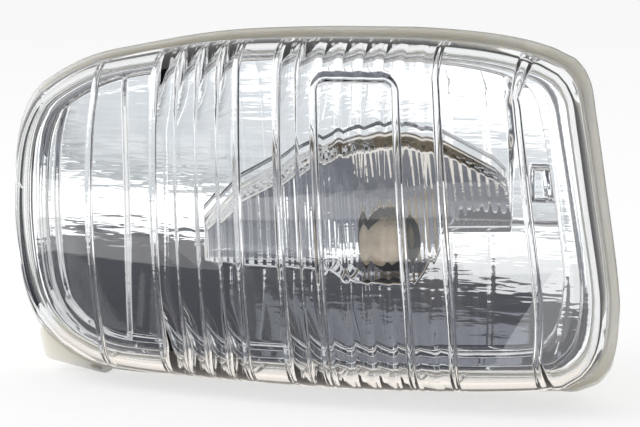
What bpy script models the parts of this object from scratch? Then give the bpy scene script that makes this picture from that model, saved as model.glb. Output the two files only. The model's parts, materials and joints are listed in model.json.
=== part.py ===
"""Mirror turn signal lamp, for Blender 4.5: run it with blender --background --python part.py.

The lamp faces -Y, with +X to the viewer's right and +Z up, as it is fitted in the mirror.
Inside the script a place is (across, depth, height), measured from the middle of the lens
flange's back face: depth grows towards the rear. The empty that carries everything then sets
the world origin at the centre of the housing's rear locating pad.
"""

import math

import bmesh
import bpy
import numpy as np
from mathutils import Matrix, Vector

MM = 0.001

# Gap between two pieces that touch
FIT_GAP = 0.3 * MM

# Lens: a clear moulding with a flange that is welded to the housing
LENS_WIDTH = 144.4 * MM
LENS_HEIGHT = 82.8 * MM
LENS_DEPTH = 24.0 * MM  # from the flange's back to the foremost point of the face
LENS_WALL = 2.2 * MM
LENS_ROLL_RADIUS = 8.0 * MM  # rolled edge between face and skirt
LENS_CROWN_ACROSS = 14.0 * MM  # where the face stands out most
LENS_BEND_RADIUS = 308.0 * MM  # the face's curve from left to right
LENS_ARCH_RADIUS = 190.0 * MM  # the face's curve from bottom to top
FLANGE_OVERHANG = 2.0 * MM
FLANGE_THICKNESS = 2.0 * MM

# The lens's outline, clockwise from its lower left, as parts of half the width and height.
# Each side runs on to the first point of the next.
OUTLINE_LEFT = ((-0.94, -0.68), (-0.982, -0.44), (-1.0, -0.05), (-0.985, 0.33))
OUTLINE_TOP = (
    (-0.94, 0.56), (-0.875, 0.68), (-0.73, 0.81), (-0.55, 0.885), (-0.25, 0.97), (0.12, 1.0), (0.42, 0.995),
    (0.67, 0.95), (0.835, 0.86),
)
OUTLINE_RIGHT = ((0.893, 0.74), (0.918, 0.53), (0.955, 0.12), (0.992, -0.32), (1.0, -0.55))
OUTLINE_BOTTOM = (
    (0.983, -0.77), (0.935, -0.895), (0.84, -0.955), (0.36, -0.995), (-0.28, -1.0), (-0.66, -0.985),
    (-0.8, -0.915), (-0.88, -0.82),
)

# Ribs and flutes on the lens's inner face, by their place across at half height
RIBS_ACROSS = (-45.6 * MM, -30.1 * MM, -9.9 * MM, -0.4 * MM, 8.3 * MM, 26.9 * MM, 35.9 * MM, 53.4 * MM)
RIB_WIDTH = 1.7 * MM
RIB_HEIGHT = 0.9 * MM
RIB_FLANK = 0.35 * MM
FLUTE_COUNTS = (0, 4, 0, 2, 4, 2, 0, 0)  # between a rib and the next
FLUTE_HEIGHTS = (0.0, 1.3 * MM, 0.0, 1.1 * MM, 0.6 * MM, 0.4 * MM, 0.0, 0.0)
FLUTE_STEP = 0.3 * MM
PANEL_RIBS = (4, 5)  # the two ribs, counted from 0 at the left, that a cross bar joins near the top
PANEL_TOP = 29.5 * MM

# Reflector: a metallised tray whose rim lies between lens and housing
RIM_WIDTH = 2.7 * MM
RIM_GAP = 0.6 * MM  # from the lens's skirt to the rim
RIM_THICKNESS = 1.5 * MM
REFLECTOR_WALL = 1.6 * MM
TRAY_DEPTH = 7.0 * MM
TRAY_ARCH_RADIUS = 180.0 * MM
TRAY_WALL_RUNS = (2.0 * MM, 6.5 * MM, 1.6 * MM, 2.0 * MM)  # of the left, right, bottom and top wall
STEPS_ACROSS = (-44.8 * MM, -59.5 * MM)
STEP_HEIGHT = 2.2 * MM
CHANNEL_ACROSS = (48.6 * MM, 52.6 * MM)
CHANNEL_DEPTH = 2.0 * MM

# The almond-shaped recess round the bulb
BULB_ACROSS = 15.5 * MM
BULB_HEIGHT = -9.5 * MM
BULB_HOLE_RADIUS = 7.6 * MM
RECESS_CLEARANCE = 6.2 * MM  # from its deepest point to the housing's floor: room for the lugs
RECESS_BEND_RADIUS = 129.0 * MM
RECESS_ARCH_RADIUS = 60.0 * MM
RECESS_LEFT = -28.7 * MM
RECESS_RIGHT = 45.0 * MM
RECESS_TOP = (
    (-28.7 * MM, -5.0 * MM), (-18.7 * MM, 2.7 * MM), (-4.0 * MM, 10.7 * MM), (8.0 * MM, 15.0 * MM),
    (20.0 * MM, 17.2 * MM), (31.6 * MM, 15.0 * MM), (42.5 * MM, 9.2 * MM), (45.0 * MM, 6.5 * MM),
)
RECESS_FOOT = (
    (-28.7 * MM, -14.6 * MM), (2.0 * MM, -15.2 * MM), (8.0 * MM, -17.8 * MM), (22.0 * MM, -17.8 * MM),
    (27.0 * MM, -12.0 * MM), (31.0 * MM, -4.0 * MM), (45.0 * MM, -3.4 * MM),
)
RECESS_WALL_RUN = 2.2 * MM
LIP_WIDTH = 2.3 * MM
LIP_HEIGHT = 0.6 * MM
STEP_RUN = 0.5 * MM
FACET_PITCH = 5.0 * MM
FACET_HEIGHT = 0.45 * MM

# Housing: a tub with a flange, and what stands on its back
HOUSING_FLANGE_THICKNESS = 2.5 * MM
HOUSING_FLANGE_INSET = 0.6 * MM
HOUSING_WALL = 2.0 * MM
TUB_DEPTH = 24.2 * MM
TUB_DRAFT = 2.7 * MM
TUB_CHAMFER = 1.6 * MM
NECK_LENGTH = 3.8 * MM
NECK_WALL = 5.0 * MM
PAD_DEPTH = 32.0 * MM
PAD_WIDTH = 18.0 * MM
PAD_HEIGHT = 11.0 * MM
PAD_ABOVE_BULB = 21.5 * MM
BOSSES = ((-40.0 * MM, 14.0 * MM), (49.0 * MM, -17.0 * MM))
BOSS_RADIUS = 4.5 * MM
PILOT_RADIUS = 1.6 * MM
PILOT_DEPTH = 7.0 * MM
VENT_ACROSS = -30.0 * MM
VENT_HEIGHT = -17.0 * MM
VENT_RADIUS = 4.0 * MM
VENT_BORE_RADIUS = 2.2 * MM
VENT_LENGTH = 6.8 * MM
BACK_RIB_THICKNESS = 1.6 * MM
BACK_RIB_RISE = 3.0 * MM
BACK_RIB_HEIGHTS = (14.0 * MM, -2.0 * MM)
BACK_RIB_ENDS = (-54.0 * MM, -4.0 * MM)

# Snap hooks along the bottom
HOOKS_ACROSS = (-25.0 * MM, 31.0 * MM)
HOOK_WIDTH = 8.0 * MM
HOOK_THICKNESS = 1.6 * MM
HOOK_INSET = 0.9 * MM
HOOK_END = 21.0 * MM
HOOK_BARB = 1.4 * MM
HOOK_BARB_LENGTH = 5.0 * MM

# The two corner tabs that show past the lens, from the lower left and lower right corner of the
# lens's box
TAB_LEFT = (
    (4.6 * MM, 8.8 * MM), (6.3 * MM, 1.8 * MM), (21.8 * MM, -1.2 * MM), (23.6 * MM, 0.2 * MM),
    (22.2 * MM, 3.9 * MM), (9.2 * MM, 13.4 * MM),
)
TAB_RIGHT = (
    (-14.6 * MM, 2.9 * MM), (-14.2 * MM, 0.2 * MM), (-9.7 * MM, 0.1 * MM), (-3.4 * MM, 2.5 * MM),
    (-0.2 * MM, 7.0 * MM), (0.0, 12.4 * MM), (-3.2 * MM, 12.4 * MM), (-11.2 * MM, 4.4 * MM),
)
TAB_LIP_DEPTH = 8.0 * MM
TAB_LIP_THICKNESS = 1.8 * MM
TAB_SLOT_LENGTH = 3.0 * MM
TAB_SLOT_WIDTH = 0.9 * MM
TAB_SLOT_INSET = 1.1 * MM

# Bulb holder, turned to lock
HOLDER_RADIUS = 8.2 * MM
LUG_COUNT = 3
LUG_REACH = 2.0 * MM
LUG_THICKNESS = 2.0 * MM
LUG_SPAN = 36.0  # degrees that one lug covers
LUG_CLEARANCE = 4.0  # degrees by which its notch is wider at each side
UNLOCK_TURN = 45.0  # degrees from locked to free, anticlockwise seen from behind
HOLDER_NOSE = 0.7 * MM
COLLAR_RADIUS = 13.8 * MM
COLLAR_THICKNESS = 2.5 * MM
SHROUD_WIDTH = 17.0 * MM
SHROUD_HEIGHT = 11.5 * MM
SHROUD_LENGTH = 15.0 * MM
SHROUD_WALL = 1.7 * MM
SHROUD_FLOOR = 2.0 * MM
GRIP_LENGTH = 24.0 * MM
GRIP_THICKNESS = 2.4 * MM
GRIP_RISE = 7.0 * MM
SEAL_RADIUS = 12.0 * MM
SEAL_WIDTH = 2.0 * MM
SEAL_THICKNESS = 1.5 * MM

# Bulb with a pinched glass base
BULB_RADIUS = 5.1 * MM
BULB_CUP_DEPTH = 2.8 * MM  # how far its glass sits in the holder
BULB_GLASS_LENGTH = 19.0 * MM
BULB_LENGTH = 26.8 * MM
BULB_BASE_WIDTH = 9.4 * MM
BULB_BASE_THICKNESS = 4.8 * MM

# Contact strips, one each side of the bulb's base
CONTACT_WIDTH = 2.8 * MM
CONTACT_THICKNESS = 0.8 * MM
CONTACT_CLEARANCE = 0.4 * MM
CONTACT_OVERLAP = 6.0 * MM  # length beside the bulb's base
CONTACT_FREE_LENGTH = 8.0 * MM

# Vent cap and membrane
VENT_CAP_WALL = 1.5 * MM
VENT_CAP_SKIRT = 5.2 * MM
MEMBRANE_THICKNESS = 0.4 * MM
MEMBRANE_RADIUS = 3.5 * MM

# Facets of round pieces, and points between two points of an outline
ROUND_SIDES = 40
SMALL_SIDES = 24
FINE_STEPS = 12
COARSE_STEPS = 3

# Where a grid has its lines, as parts of its width and height: closer where the surface turns
END_LINES = (0.0, 0.004, 0.014, 0.03, 0.05, 0.075)
LENS_LOWER_ROWS = (0.0, 0.008, 0.03, 0.065, 0.12, 0.24, 0.37, 0.5, 0.63, 0.76)
LENS_UPPER_ROWS = (0.935, 0.97, 0.992, 1.0)
TRAY_ROWS = (0.0, 0.35, 0.7, 1.0)
RECESS_ROW_SHARES = (0.0, 0.33, 0.67, 1.0)
END_FADE = 8  # power by which the bend of the outline's ends dies away from them

# Places that follow from the sizes above
RIM_INSET = FLANGE_OVERHANG + LENS_WALL + RIM_GAP
TRAY_INSET = RIM_INSET + RIM_WIDTH
TRAY_INSETS = tuple(TRAY_INSET + run for run in TRAY_WALL_RUNS)
CAVITY_INSET = TRAY_INSET - REFLECTOR_WALL - 2 * FIT_GAP
TUB_FLOOR = TUB_DEPTH - HOUSING_WALL
NECK_END = TUB_DEPTH + NECK_LENGTH
LUG_BACK = TUB_FLOOR - FIT_GAP
HOLDER_FRONT = LUG_BACK - LUG_THICKNESS - HOLDER_NOSE
RECESS_DEPTH = TUB_FLOOR - RECESS_CLEARANCE
SEAL_FRONT = NECK_END + FIT_GAP
COLLAR_FRONT = SEAL_FRONT + SEAL_THICKNESS + FIT_GAP
COLLAR_BACK = COLLAR_FRONT + COLLAR_THICKNESS
SHROUD_BACK = COLLAR_BACK + SHROUD_LENGTH
SHROUD_SEAT = COLLAR_BACK + SHROUD_FLOOR
BULB_SHOULDER = HOLDER_FRONT + BULB_CUP_DEPTH
BULB_TIP = BULB_SHOULDER - BULB_GLASS_LENGTH
BULB_END = BULB_TIP + BULB_LENGTH
CONTACT_INNER = BULB_BASE_THICKNESS / 2 + CONTACT_CLEARANCE
CONTACT_FRONT = BULB_END - CONTACT_OVERLAP
CONTACT_BACK = SHROUD_SEAT + CONTACT_FREE_LENGTH
VENT_END = TUB_DEPTH + VENT_LENGTH
MEMBRANE_FRONT = VENT_END + FIT_GAP
VENT_CAP_SEAT = MEMBRANE_FRONT + MEMBRANE_THICKNESS + FIT_GAP


def clear_scene():
    for obj in list(bpy.data.objects):
        bpy.data.objects.remove(obj, do_unlink=True)


def new_collection(name, above=None):
    made = bpy.data.collections.new(name)
    (above or bpy.context.scene.collection).children.link(made)
    return made


def material(name, colour, roughness, metallic=0.0, alpha=1.0):
    made = bpy.data.materials.new(name)
    made.use_nodes = True
    shader = made.node_tree.nodes["Principled BSDF"]
    shader.inputs["Base Color"].default_value = (*colour, 1.0)
    shader.inputs["Roughness"].default_value = roughness
    shader.inputs["Metallic"].default_value = metallic
    shader.inputs["Alpha"].default_value = alpha
    return made


def empty(name, collection, place, parent=None):
    made = bpy.data.objects.new(name, None)
    collection.objects.link(made)
    made.location = place
    made.parent = parent
    return made


def add_object(name, mesh, collection, parent, paint=None):
    obj = bpy.data.objects.new(name, mesh)
    collection.objects.link(obj)
    obj.parent = parent
    if paint:
        mesh.materials.append(paint)
    return obj


def mesh_from(name, build):
    """A mesh made by a function that fills a BMesh, with its faces pointing out."""
    bm = bmesh.new()
    build(bm)
    bmesh.ops.recalc_face_normals(bm, faces=bm.faces)
    mesh = bpy.data.meshes.new(name)
    bm.to_mesh(mesh)
    bm.free()
    return mesh


def smooth(mesh, degrees=30.0):
    mesh.shade_smooth()
    mesh.set_sharp_from_angle(angle=math.radians(degrees))


# Outlines, and grids that fill them


def spline(points, steps):
    """A closed curve through the points, in so many steps from one to the next."""
    points = np.array(points, float)
    before, after = np.roll(points, 1, 0), np.roll(points, -1, 0)
    beyond = np.roll(points, -2, 0)
    t = np.linspace(0.0, 1.0, steps, endpoint=False)[:, None, None]
    curve = (
        points
        + t * (after - before) / 2
        + t**2 * (before - 2.5 * points + 2 * after - 0.5 * beyond)
        + t**3 * (-0.5 * before + 1.5 * points - 1.5 * after + 0.5 * beyond)
    )
    return curve.swapaxes(0, 1).reshape(-1, 2)


def outline_loop(insets, steps):
    """The outline as a closed line, set in by (left, right, bottom, top)."""
    left, right, bottom, top = insets
    middle = np.array([left - right, bottom - top]) / 2
    half = np.array([LENS_WIDTH - left - right, LENS_HEIGHT - bottom - top]) / 2
    points = OUTLINE_LEFT + OUTLINE_TOP + OUTLINE_RIGHT + OUTLINE_BOTTOM
    return spline(points, steps) * half + middle


def outline_sides(insets):
    """The outline's left and right side, from bottom to top, and its bottom and top, from left to right."""
    loop = outline_loop(insets, FINE_STEPS)
    loop = np.concatenate([loop, loop[:1]])
    ends = np.cumsum([len(side) for side in (OUTLINE_LEFT, OUTLINE_TOP, OUTLINE_RIGHT)]) * FINE_STEPS
    left, top = loop[: ends[0] + 1], loop[ends[0] : ends[1] + 1]
    right, bottom = loop[ends[1] : ends[2] + 1], loop[ends[2] :]
    return left, right[::-1], bottom[::-1], top


def even(inset):
    return (inset,) * 4


def along(side, share, axis):
    """The point of a side at a share, from 0 to 1, of its run along an axis."""
    place = side[0, axis] + (side[-1, axis] - side[0, axis]) * share
    return np.stack([np.interp(place, side[:, axis], side[:, k]) for k in (0, 1)], -1)


def patch(across, up, insets):
    """A grid of points (across, height) that fills the outline.

    Each value of across, from 0 to 1, is a line from bottom to top, and up gives the points on
    it, for all lines or for each. Only the outermost lines bend with the outline's ends.
    """
    left, right, bottom, top = outline_sides(insets)
    s = np.asarray(across, float)[:, None]
    t = np.broadcast_to(np.asarray(up, float), (len(s), np.shape(up)[-1]))
    foot, head = along(bottom, s, 0), along(top, s, 0)
    grid = foot + (head - foot) * t[..., None]
    for side, weight in ((left, (1 - s) ** END_FADE), (right, s**END_FADE)):
        chord = side[0] + (side[-1] - side[0]) * t[..., None]
        grid = grid + weight[..., None] * (along(side, t, 1) - chord)
    return grid


def share_of(place, insets):
    """The value of across whose line crosses half height at a place."""
    left, right, _, _ = outline_sides(insets)
    start, end = (left[0, 0] + left[-1, 0]) / 2, (right[0, 0] + right[-1, 0]) / 2
    return (np.asarray(place) - start) / (end - start)


def place_of(share, insets):
    """The place at which a value of across crosses half height."""
    left, right, _, _ = outline_sides(insets)
    start, end = (left[0, 0] + left[-1, 0]) / 2, (right[0, 0] + right[-1, 0]) / 2
    return start + (end - start) * share


def distance_to(loop, points):
    """The distance from each point to a closed line."""
    run = np.roll(loop, -1, axis=0) - loop
    flat = points.reshape(-1, 1, 2)
    share = ((flat - loop) * run).sum(-1) / (run**2).sum(-1)
    near = loop + run * np.clip(share, 0, 1)[..., None]
    return np.sqrt(((flat - near) ** 2).sum(-1).min(1)).reshape(points.shape[:-1])


def rim_of(grid):
    """What lies round a grid's edge, in order."""
    return np.concatenate([grid[:, 0], grid[-1, 1:], grid[-2::-1, -1], grid[0, -2:0:-1]])


def at_depth(points, depth):
    """Points (across, height) with a depth: one for all, or one for each."""
    return np.stack([points[..., 0], np.broadcast_to(depth, points.shape[:-1]), points[..., 1]], -1)


def grid_faces(bm, grid):
    """Faces over a grid of points. Returns the vertices round its edge."""
    vertices = np.array([[bm.verts.new(point) for point in line] for line in grid], object)
    for one, other in zip(vertices, vertices[1:]):
        for k in range(len(one) - 1):
            bm.faces.new((one[k], other[k], other[k + 1], one[k + 1]))
    return rim_of(vertices)


def ring_faces(bm, rings):
    """Bands of faces from each closed ring of vertices to the next."""
    for one, other in zip(rings, rings[1:]):
        for k in range(len(one)):
            after = (k + 1) % len(one)
            bm.faces.new((one[k], one[after], other[after], other[k]))


def moulding(front, rings, back):
    """A closed body from a front grid, rings of points round it, and a back grid."""

    def build(bm):
        between = [[bm.verts.new(point) for point in ring] for ring in rings]
        ring_faces(bm, [grid_faces(bm, front), *between, grid_faces(bm, back)])

    return build


def loft(rings):
    """A closed body from a run of rings, with a flat cap on the first and on the last."""

    def build(bm):
        vertices = [[bm.verts.new(point) for point in ring] for ring in rings]
        ring_faces(bm, vertices)
        bm.faces.new(vertices[0])
        bm.faces.new(vertices[-1])

    return build


# Simple solids, placed by (across, depth, height)


def block(low, high):
    middle = (Vector(low) + Vector(high)) / 2
    size = Matrix.Diagonal(Vector(high) - Vector(low)).to_4x4()

    def build(bm):
        bmesh.ops.create_cube(bm, size=1.0, matrix=Matrix.Translation(middle) @ size)

    return build


def post(across, height, front, back, radius, sides=ROUND_SIDES):
    """A round bar along the depth."""
    place = Matrix.Translation((across, (front + back) / 2, height))
    turn = Matrix.Rotation(math.radians(-90), 4, "X")

    def build(bm):
        bmesh.ops.create_cone(
            bm,
            cap_ends=True,
            segments=sides,
            radius1=radius,
            radius2=radius,
            depth=back - front,
            matrix=place @ turn,
        )

    return build


def flat_solid(name, points, thickness, matrix):
    """A mesh of a flat outline with a thickness, centred on its plane and then placed."""
    curve = bpy.data.curves.new(name, "CURVE")
    curve.dimensions = "2D"
    curve.fill_mode = "BOTH"
    curve.extrude = thickness / 2
    line = curve.splines.new("POLY")
    line.points.add(len(points) - 1)
    for point, (x, y) in zip(line.points, points):
        point.co = (x, y, 0.0, 1.0)
    line.use_cyclic_u = True
    guide = bpy.data.objects.new(name, curve)
    bpy.context.scene.collection.objects.link(guide)
    mesh = bpy.data.meshes.new_from_object(guide.evaluated_get(bpy.context.evaluated_depsgraph_get()))
    bpy.data.objects.remove(guide)
    bm = bmesh.new()
    bm.from_mesh(mesh)
    bmesh.ops.remove_doubles(bm, verts=bm.verts, dist=1e-6)
    bmesh.ops.transform(bm, matrix=matrix, verts=bm.verts)
    bmesh.ops.recalc_face_normals(bm, faces=bm.faces)
    bm.to_mesh(mesh)
    bm.free()
    return mesh


def plate(name, points, front, back):
    """A flat solid whose outline is (across, height)."""
    turn = Matrix.Translation((0.0, (front + back) / 2, 0.0)) @ Matrix.Rotation(math.radians(90), 4, "X")
    return flat_solid(name, points, back - front, turn)


def side_profile(name, points, across, width):
    """A flat solid whose outline is (depth, height)."""
    turn = Matrix(((0, 0, 1, across), (1, 0, 0, 0), (0, 1, 0, 0), (0, 0, 0, 1)))
    return flat_solid(name, points, width, turn)


def helper(mesh, collection, parent):
    """A cutter or a filler, which stays out of the finished lamp."""
    obj = add_object(mesh.name, mesh, collection, parent)
    obj.hide_render = True
    obj.display_type = "WIRE"
    return obj


def combine(obj, operation, helpers):
    modifier = obj.modifiers.new(operation.lower(), "BOOLEAN")
    modifier.operation = operation
    modifier.solver = "EXACT"
    modifier.operand_type = "COLLECTION"
    modifier.collection = helpers


def turned(name, profile, collection, parent, paint=None, sides=ROUND_SIDES):
    """A piece turned on its parent's axis, from a profile of (radius, depth)."""
    mesh = bpy.data.meshes.new(name)
    vertices = [(radius, 0.0, depth) for radius, depth in profile]
    mesh.from_pydata(vertices, [(k, k + 1) for k in range(len(vertices) - 1)], [])
    obj = add_object(name, mesh, collection, parent, paint)
    obj.rotation_euler = (math.radians(-90), 0.0, 0.0)
    screw = obj.modifiers.new("turn", "SCREW")
    screw.axis = "Z"
    screw.steps = sides
    screw.render_steps = sides
    screw.use_merge_vertices = True
    screw.merge_threshold = 0.00001
    return obj


def ring_profile(inner, outer, front, back):
    """The closed profile of a flat ring."""
    return [(inner, back), (outer, back), (outer, front), (inner, front), (inner, back)]


# Lens


def lens_lines():
    """The lens's lines from bottom to top, as (place across, height of the optics there)."""
    half = RIB_WIDTH / 2
    lines = []
    for index, rib in enumerate(RIBS_ACROSS):
        lines += [(rib - half, 0.0), (rib - half + RIB_FLANK, RIB_HEIGHT)]
        lines += [(rib + half - RIB_FLANK, RIB_HEIGHT), (rib + half, 0.0)]
        flutes = FLUTE_COUNTS[index]
        if not flutes:
            continue
        start, end = rib + half, RIBS_ACROSS[index + 1] - half
        pitch = (end - start) / flutes
        for k in range(flutes):
            lines.append((start + k * pitch + FLUTE_STEP, FLUTE_HEIGHTS[index]))
            if k < flutes - 1:
                lines.append((start + (k + 1) * pitch, 0.0))
    return lines


def crown_fall(points):
    """How far the lens's face has fallen back from its foremost point."""
    sideways = (points[..., 0] - LENS_CROWN_ACROSS) ** 2 / (2 * LENS_BEND_RADIUS)
    return sideways + points[..., 1] ** 2 / (2 * LENS_ARCH_RADIUS)


def roll_fall(points, radius):
    """How far a rolled edge falls back, by each point's distance to the grid's edge."""
    inside = np.clip(distance_to(rim_of(points), points) / radius, 0, 1)
    return radius * (1 - np.sqrt(1 - (1 - inside) ** 2))


def build_lens(parts, carrier, paint):
    outer_insets, inner_insets = even(FLANGE_OVERHANG), even(FLANGE_OVERHANG + LENS_WALL)
    lines = lens_lines()
    far_end = [1 - share for share in reversed(END_LINES)]
    shares = np.concatenate([END_LINES, [share_of(place, outer_insets) for place, _ in lines], far_end])
    flat = [0.0] * len(END_LINES)
    heights = np.array([*flat, *(height for _, height in lines), *flat])
    bar, half_bar = PANEL_TOP / LENS_HEIGHT + 0.5, RIB_WIDTH / 2 / LENS_HEIGHT
    flank = RIB_FLANK / LENS_HEIGHT
    bar_up = [bar - half_bar, bar - half_bar + flank, bar + half_bar - flank, bar + half_bar]
    up = np.array([*LENS_LOWER_ROWS, *bar_up, *LENS_UPPER_ROWS])
    outer, inner = patch(shares, up, outer_insets), patch(shares, up, inner_insets)
    optics = np.repeat(heights[:, None], len(up), axis=1)
    left_rib, right_rib = (share_of(RIBS_ACROSS[index], outer_insets) for index in PANEL_RIBS)
    panel = np.flatnonzero((shares > left_rib) & (shares < right_rib))
    optics[np.ix_(panel, up > bar - half_bar)] = 0.0
    optics[np.ix_(panel, np.abs(up - bar) < half_bar - flank / 2)] = RIB_HEIGHT
    optics[:, [0, -1]] = 0.0
    face = crown_fall(outer) - LENS_DEPTH + roll_fall(outer, LENS_ROLL_RADIUS)
    inside = crown_fall(inner) - LENS_DEPTH + LENS_WALL + roll_fall(inner, LENS_ROLL_RADIUS - LENS_WALL)
    flange = rim_of(patch(shares, up, even(0.0)))
    rings = (
        at_depth(rim_of(outer), -FLANGE_THICKNESS),
        at_depth(flange, -FLANGE_THICKNESS),
        at_depth(flange, 0.0),
        at_depth(rim_of(inner), 0.0),
    )
    mesh = mesh_from("lens", moulding(at_depth(outer, face), rings, at_depth(inner, inside + optics)))
    smooth(mesh)
    return add_object("lens", mesh, parts, carrier, paint)


# Reflector


def curve_height(points, across):
    return np.interp(across, [point[0] for point in points], [point[1] for point in points])


def tray_depth(grid, places):
    """The tray's floor: concave from top to bottom, and stepped forwards towards the left end."""
    depth = TRAY_DEPTH - grid[..., 1] ** 2 / (2 * TRAY_ARCH_RADIUS)
    for step in STEPS_ACROSS:
        depth = depth - STEP_HEIGHT * (places < step)[:, None]
    return depth


def recess_depth(grid):
    """The recess's floor: deepest at the bulb, with upright facets."""
    aside = grid[..., 0] - BULB_ACROSS
    above = grid[..., 1] - BULB_HEIGHT
    facet = np.abs((aside / FACET_PITCH) % 1.0 - 0.5) * 2 * FACET_HEIGHT
    return RECESS_DEPTH - aside**2 / (2 * RECESS_BEND_RADIUS) - above**2 / (2 * RECESS_ARCH_RADIUS) - facet


def thickened(grid, depth, wall):
    """The depth of a surface that lies a wall's thickness behind another, at each of its points."""
    flat, front = grid.reshape(-1, 2), depth.reshape(-1)
    apart = ((flat[:, None] - flat[None]) ** 2).sum(-1)
    reach = np.where(apart < wall**2, front[None] + np.sqrt(np.clip(wall**2 - apart, 0, None)), -1.0)
    return reach.max(1).reshape(depth.shape)


def reflector_lines():
    """The places across of the lines from bottom to top, between the tray's two ends."""
    edges = [*STEPS_ACROSS, *CHANNEL_ACROSS, RECESS_LEFT, RECESS_RIGHT]
    pairs = [edge + side * STEP_RUN / 2 for edge in edges for side in (-1, 1)]
    first = math.ceil((RECESS_LEFT + STEP_RUN - BULB_ACROSS) / FACET_PITCH * 2)
    last = math.floor((RECESS_RIGHT - STEP_RUN - BULB_ACROSS) / FACET_PITCH * 2)
    facets = [BULB_ACROSS + k * FACET_PITCH / 2 for k in range(first, last + 1)]
    return sorted(pairs + facets)


def reflector_heights(places, low, high):
    """The heights of the tray's points on each line, from its bottom to its top edge."""
    foot, head = curve_height(RECESS_FOOT, places), curve_height(RECESS_TOP, places)
    below, floor_end, above = foot - STEP_RUN, head - RECESS_WALL_RUN, head + LIP_WIDTH + STEP_RUN
    heights = [low + (below - low) * share for share in TRAY_ROWS]
    heights += [foot + (floor_end - foot) * share for share in RECESS_ROW_SHARES]
    heights += [head, head + LIP_WIDTH]
    heights += [above + (high - above) * share for share in TRAY_ROWS]
    return np.array(heights).T


RECESS_ROWS = slice(len(TRAY_ROWS), len(TRAY_ROWS) + len(RECESS_ROW_SHARES))
LIP_ROWS = slice(RECESS_ROWS.stop, RECESS_ROWS.stop + 2)
UPPER_ROWS = slice(LIP_ROWS.stop, None)


def build_reflector(parts, cutters, carrier, paint):
    shares = np.array([0.0, *share_of(reflector_lines(), TRAY_INSETS), 1.0])
    places = place_of(shares, TRAY_INSETS)
    ends = patch(shares, (0.0, 1.0), TRAY_INSETS)[..., 1]
    heights = reflector_heights(places, ends[:, 0], ends[:, 1])
    up = (heights - ends[:, :1]) / (ends[:, 1:] - ends[:, :1])
    grid = patch(shares, up, TRAY_INSETS)
    depth = tray_depth(grid, places)
    in_recess = ((places > RECESS_LEFT) & (places < RECESS_RIGHT))[:, None]
    bowl = np.maximum(recess_depth(grid), depth)
    depth[:, RECESS_ROWS] = np.where(in_recess, bowl, depth)[:, RECESS_ROWS]
    depth[:, LIP_ROWS] -= LIP_HEIGHT * in_recess
    in_channel = (places > CHANNEL_ACROSS[0]) & (places < CHANNEL_ACROSS[1])
    depth[:, UPPER_ROWS] += CHANNEL_DEPTH * in_channel[:, None]
    insets = (TRAY_INSET, RIM_INSET, TRAY_INSET - REFLECTOR_WALL)
    inner_rim, outer_rim, behind_wall = (rim_of(patch(shares, up, even(inset))) for inset in insets)
    rings = (
        at_depth(inner_rim, -RIM_THICKNESS),
        at_depth(outer_rim, -RIM_THICKNESS),
        at_depth(outer_rim, 0.0),
        at_depth(behind_wall, 0.0),
    )
    back = thickened(grid, depth, REFLECTOR_WALL)
    mesh = mesh_from("reflector", moulding(at_depth(grid, depth), rings, at_depth(grid, back)))
    smooth(mesh)
    reflector = add_object("reflector", mesh, parts, carrier, paint)
    cuts = new_collection("reflector_cuts", cutters)
    hole = post(BULB_ACROSS, BULB_HEIGHT, 0.0, TUB_FLOOR, BULB_HOLE_RADIUS)
    helper(mesh_from("bulb_hole", hole), cuts, carrier)
    combine(reflector, "DIFFERENCE", cuts)
    return reflector


# Housing


def outline_ring(inset, depth):
    return at_depth(outline_loop(even(inset), COARSE_STEPS), depth)


def sector(inner, outer, middle, span):
    """Points (across, height) of a piece of a ring, round (0, 0)."""
    angles = [math.radians(middle + span * share) for share in (-0.5, -0.25, 0.0, 0.25, 0.5)]
    points = [(inner * math.cos(angle), inner * math.sin(angle)) for angle in angles]
    return points + [(outer * math.cos(angle), outer * math.sin(angle)) for angle in reversed(angles)]


def lug_angles():
    return [90.0 + 360.0 / LUG_COUNT * k for k in range(LUG_COUNT)]


def tab_outline(points, side):
    """A tab's points, moved to the lens's lower left (-1) or lower right (1) corner."""
    return [(side * LENS_WIDTH / 2 + across, height - LENS_HEIGHT / 2) for across, height in points]


def tab_lip(start, end):
    """The outline of a thin wall along a tab's lower edge."""
    start, end = Vector(start), Vector(end)
    inwards = (end - start).orthogonal().normalized() * TAB_LIP_THICKNESS
    if inwards.y < 0:
        inwards.negate()
    return [tuple(start), tuple(end), tuple(end + inwards), tuple(start + inwards)]


def hook_mesh(across, front):
    """An arm and its barb, under the housing's bottom wall."""
    _, _, bottom, _ = outline_sides(even(HOOK_INSET))
    low = float(np.interp(across, bottom[:, 0], bottom[:, 1]))
    high = low + HOOK_THICKNESS
    barb_start = HOOK_END - HOOK_BARB_LENGTH
    points = [(front, high), (front, low), (barb_start, low), (barb_start, low - HOOK_BARB)]
    return side_profile("hook", [*points, (HOOK_END, low), (HOOK_END, high)], across, HOOK_WIDTH)


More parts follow.
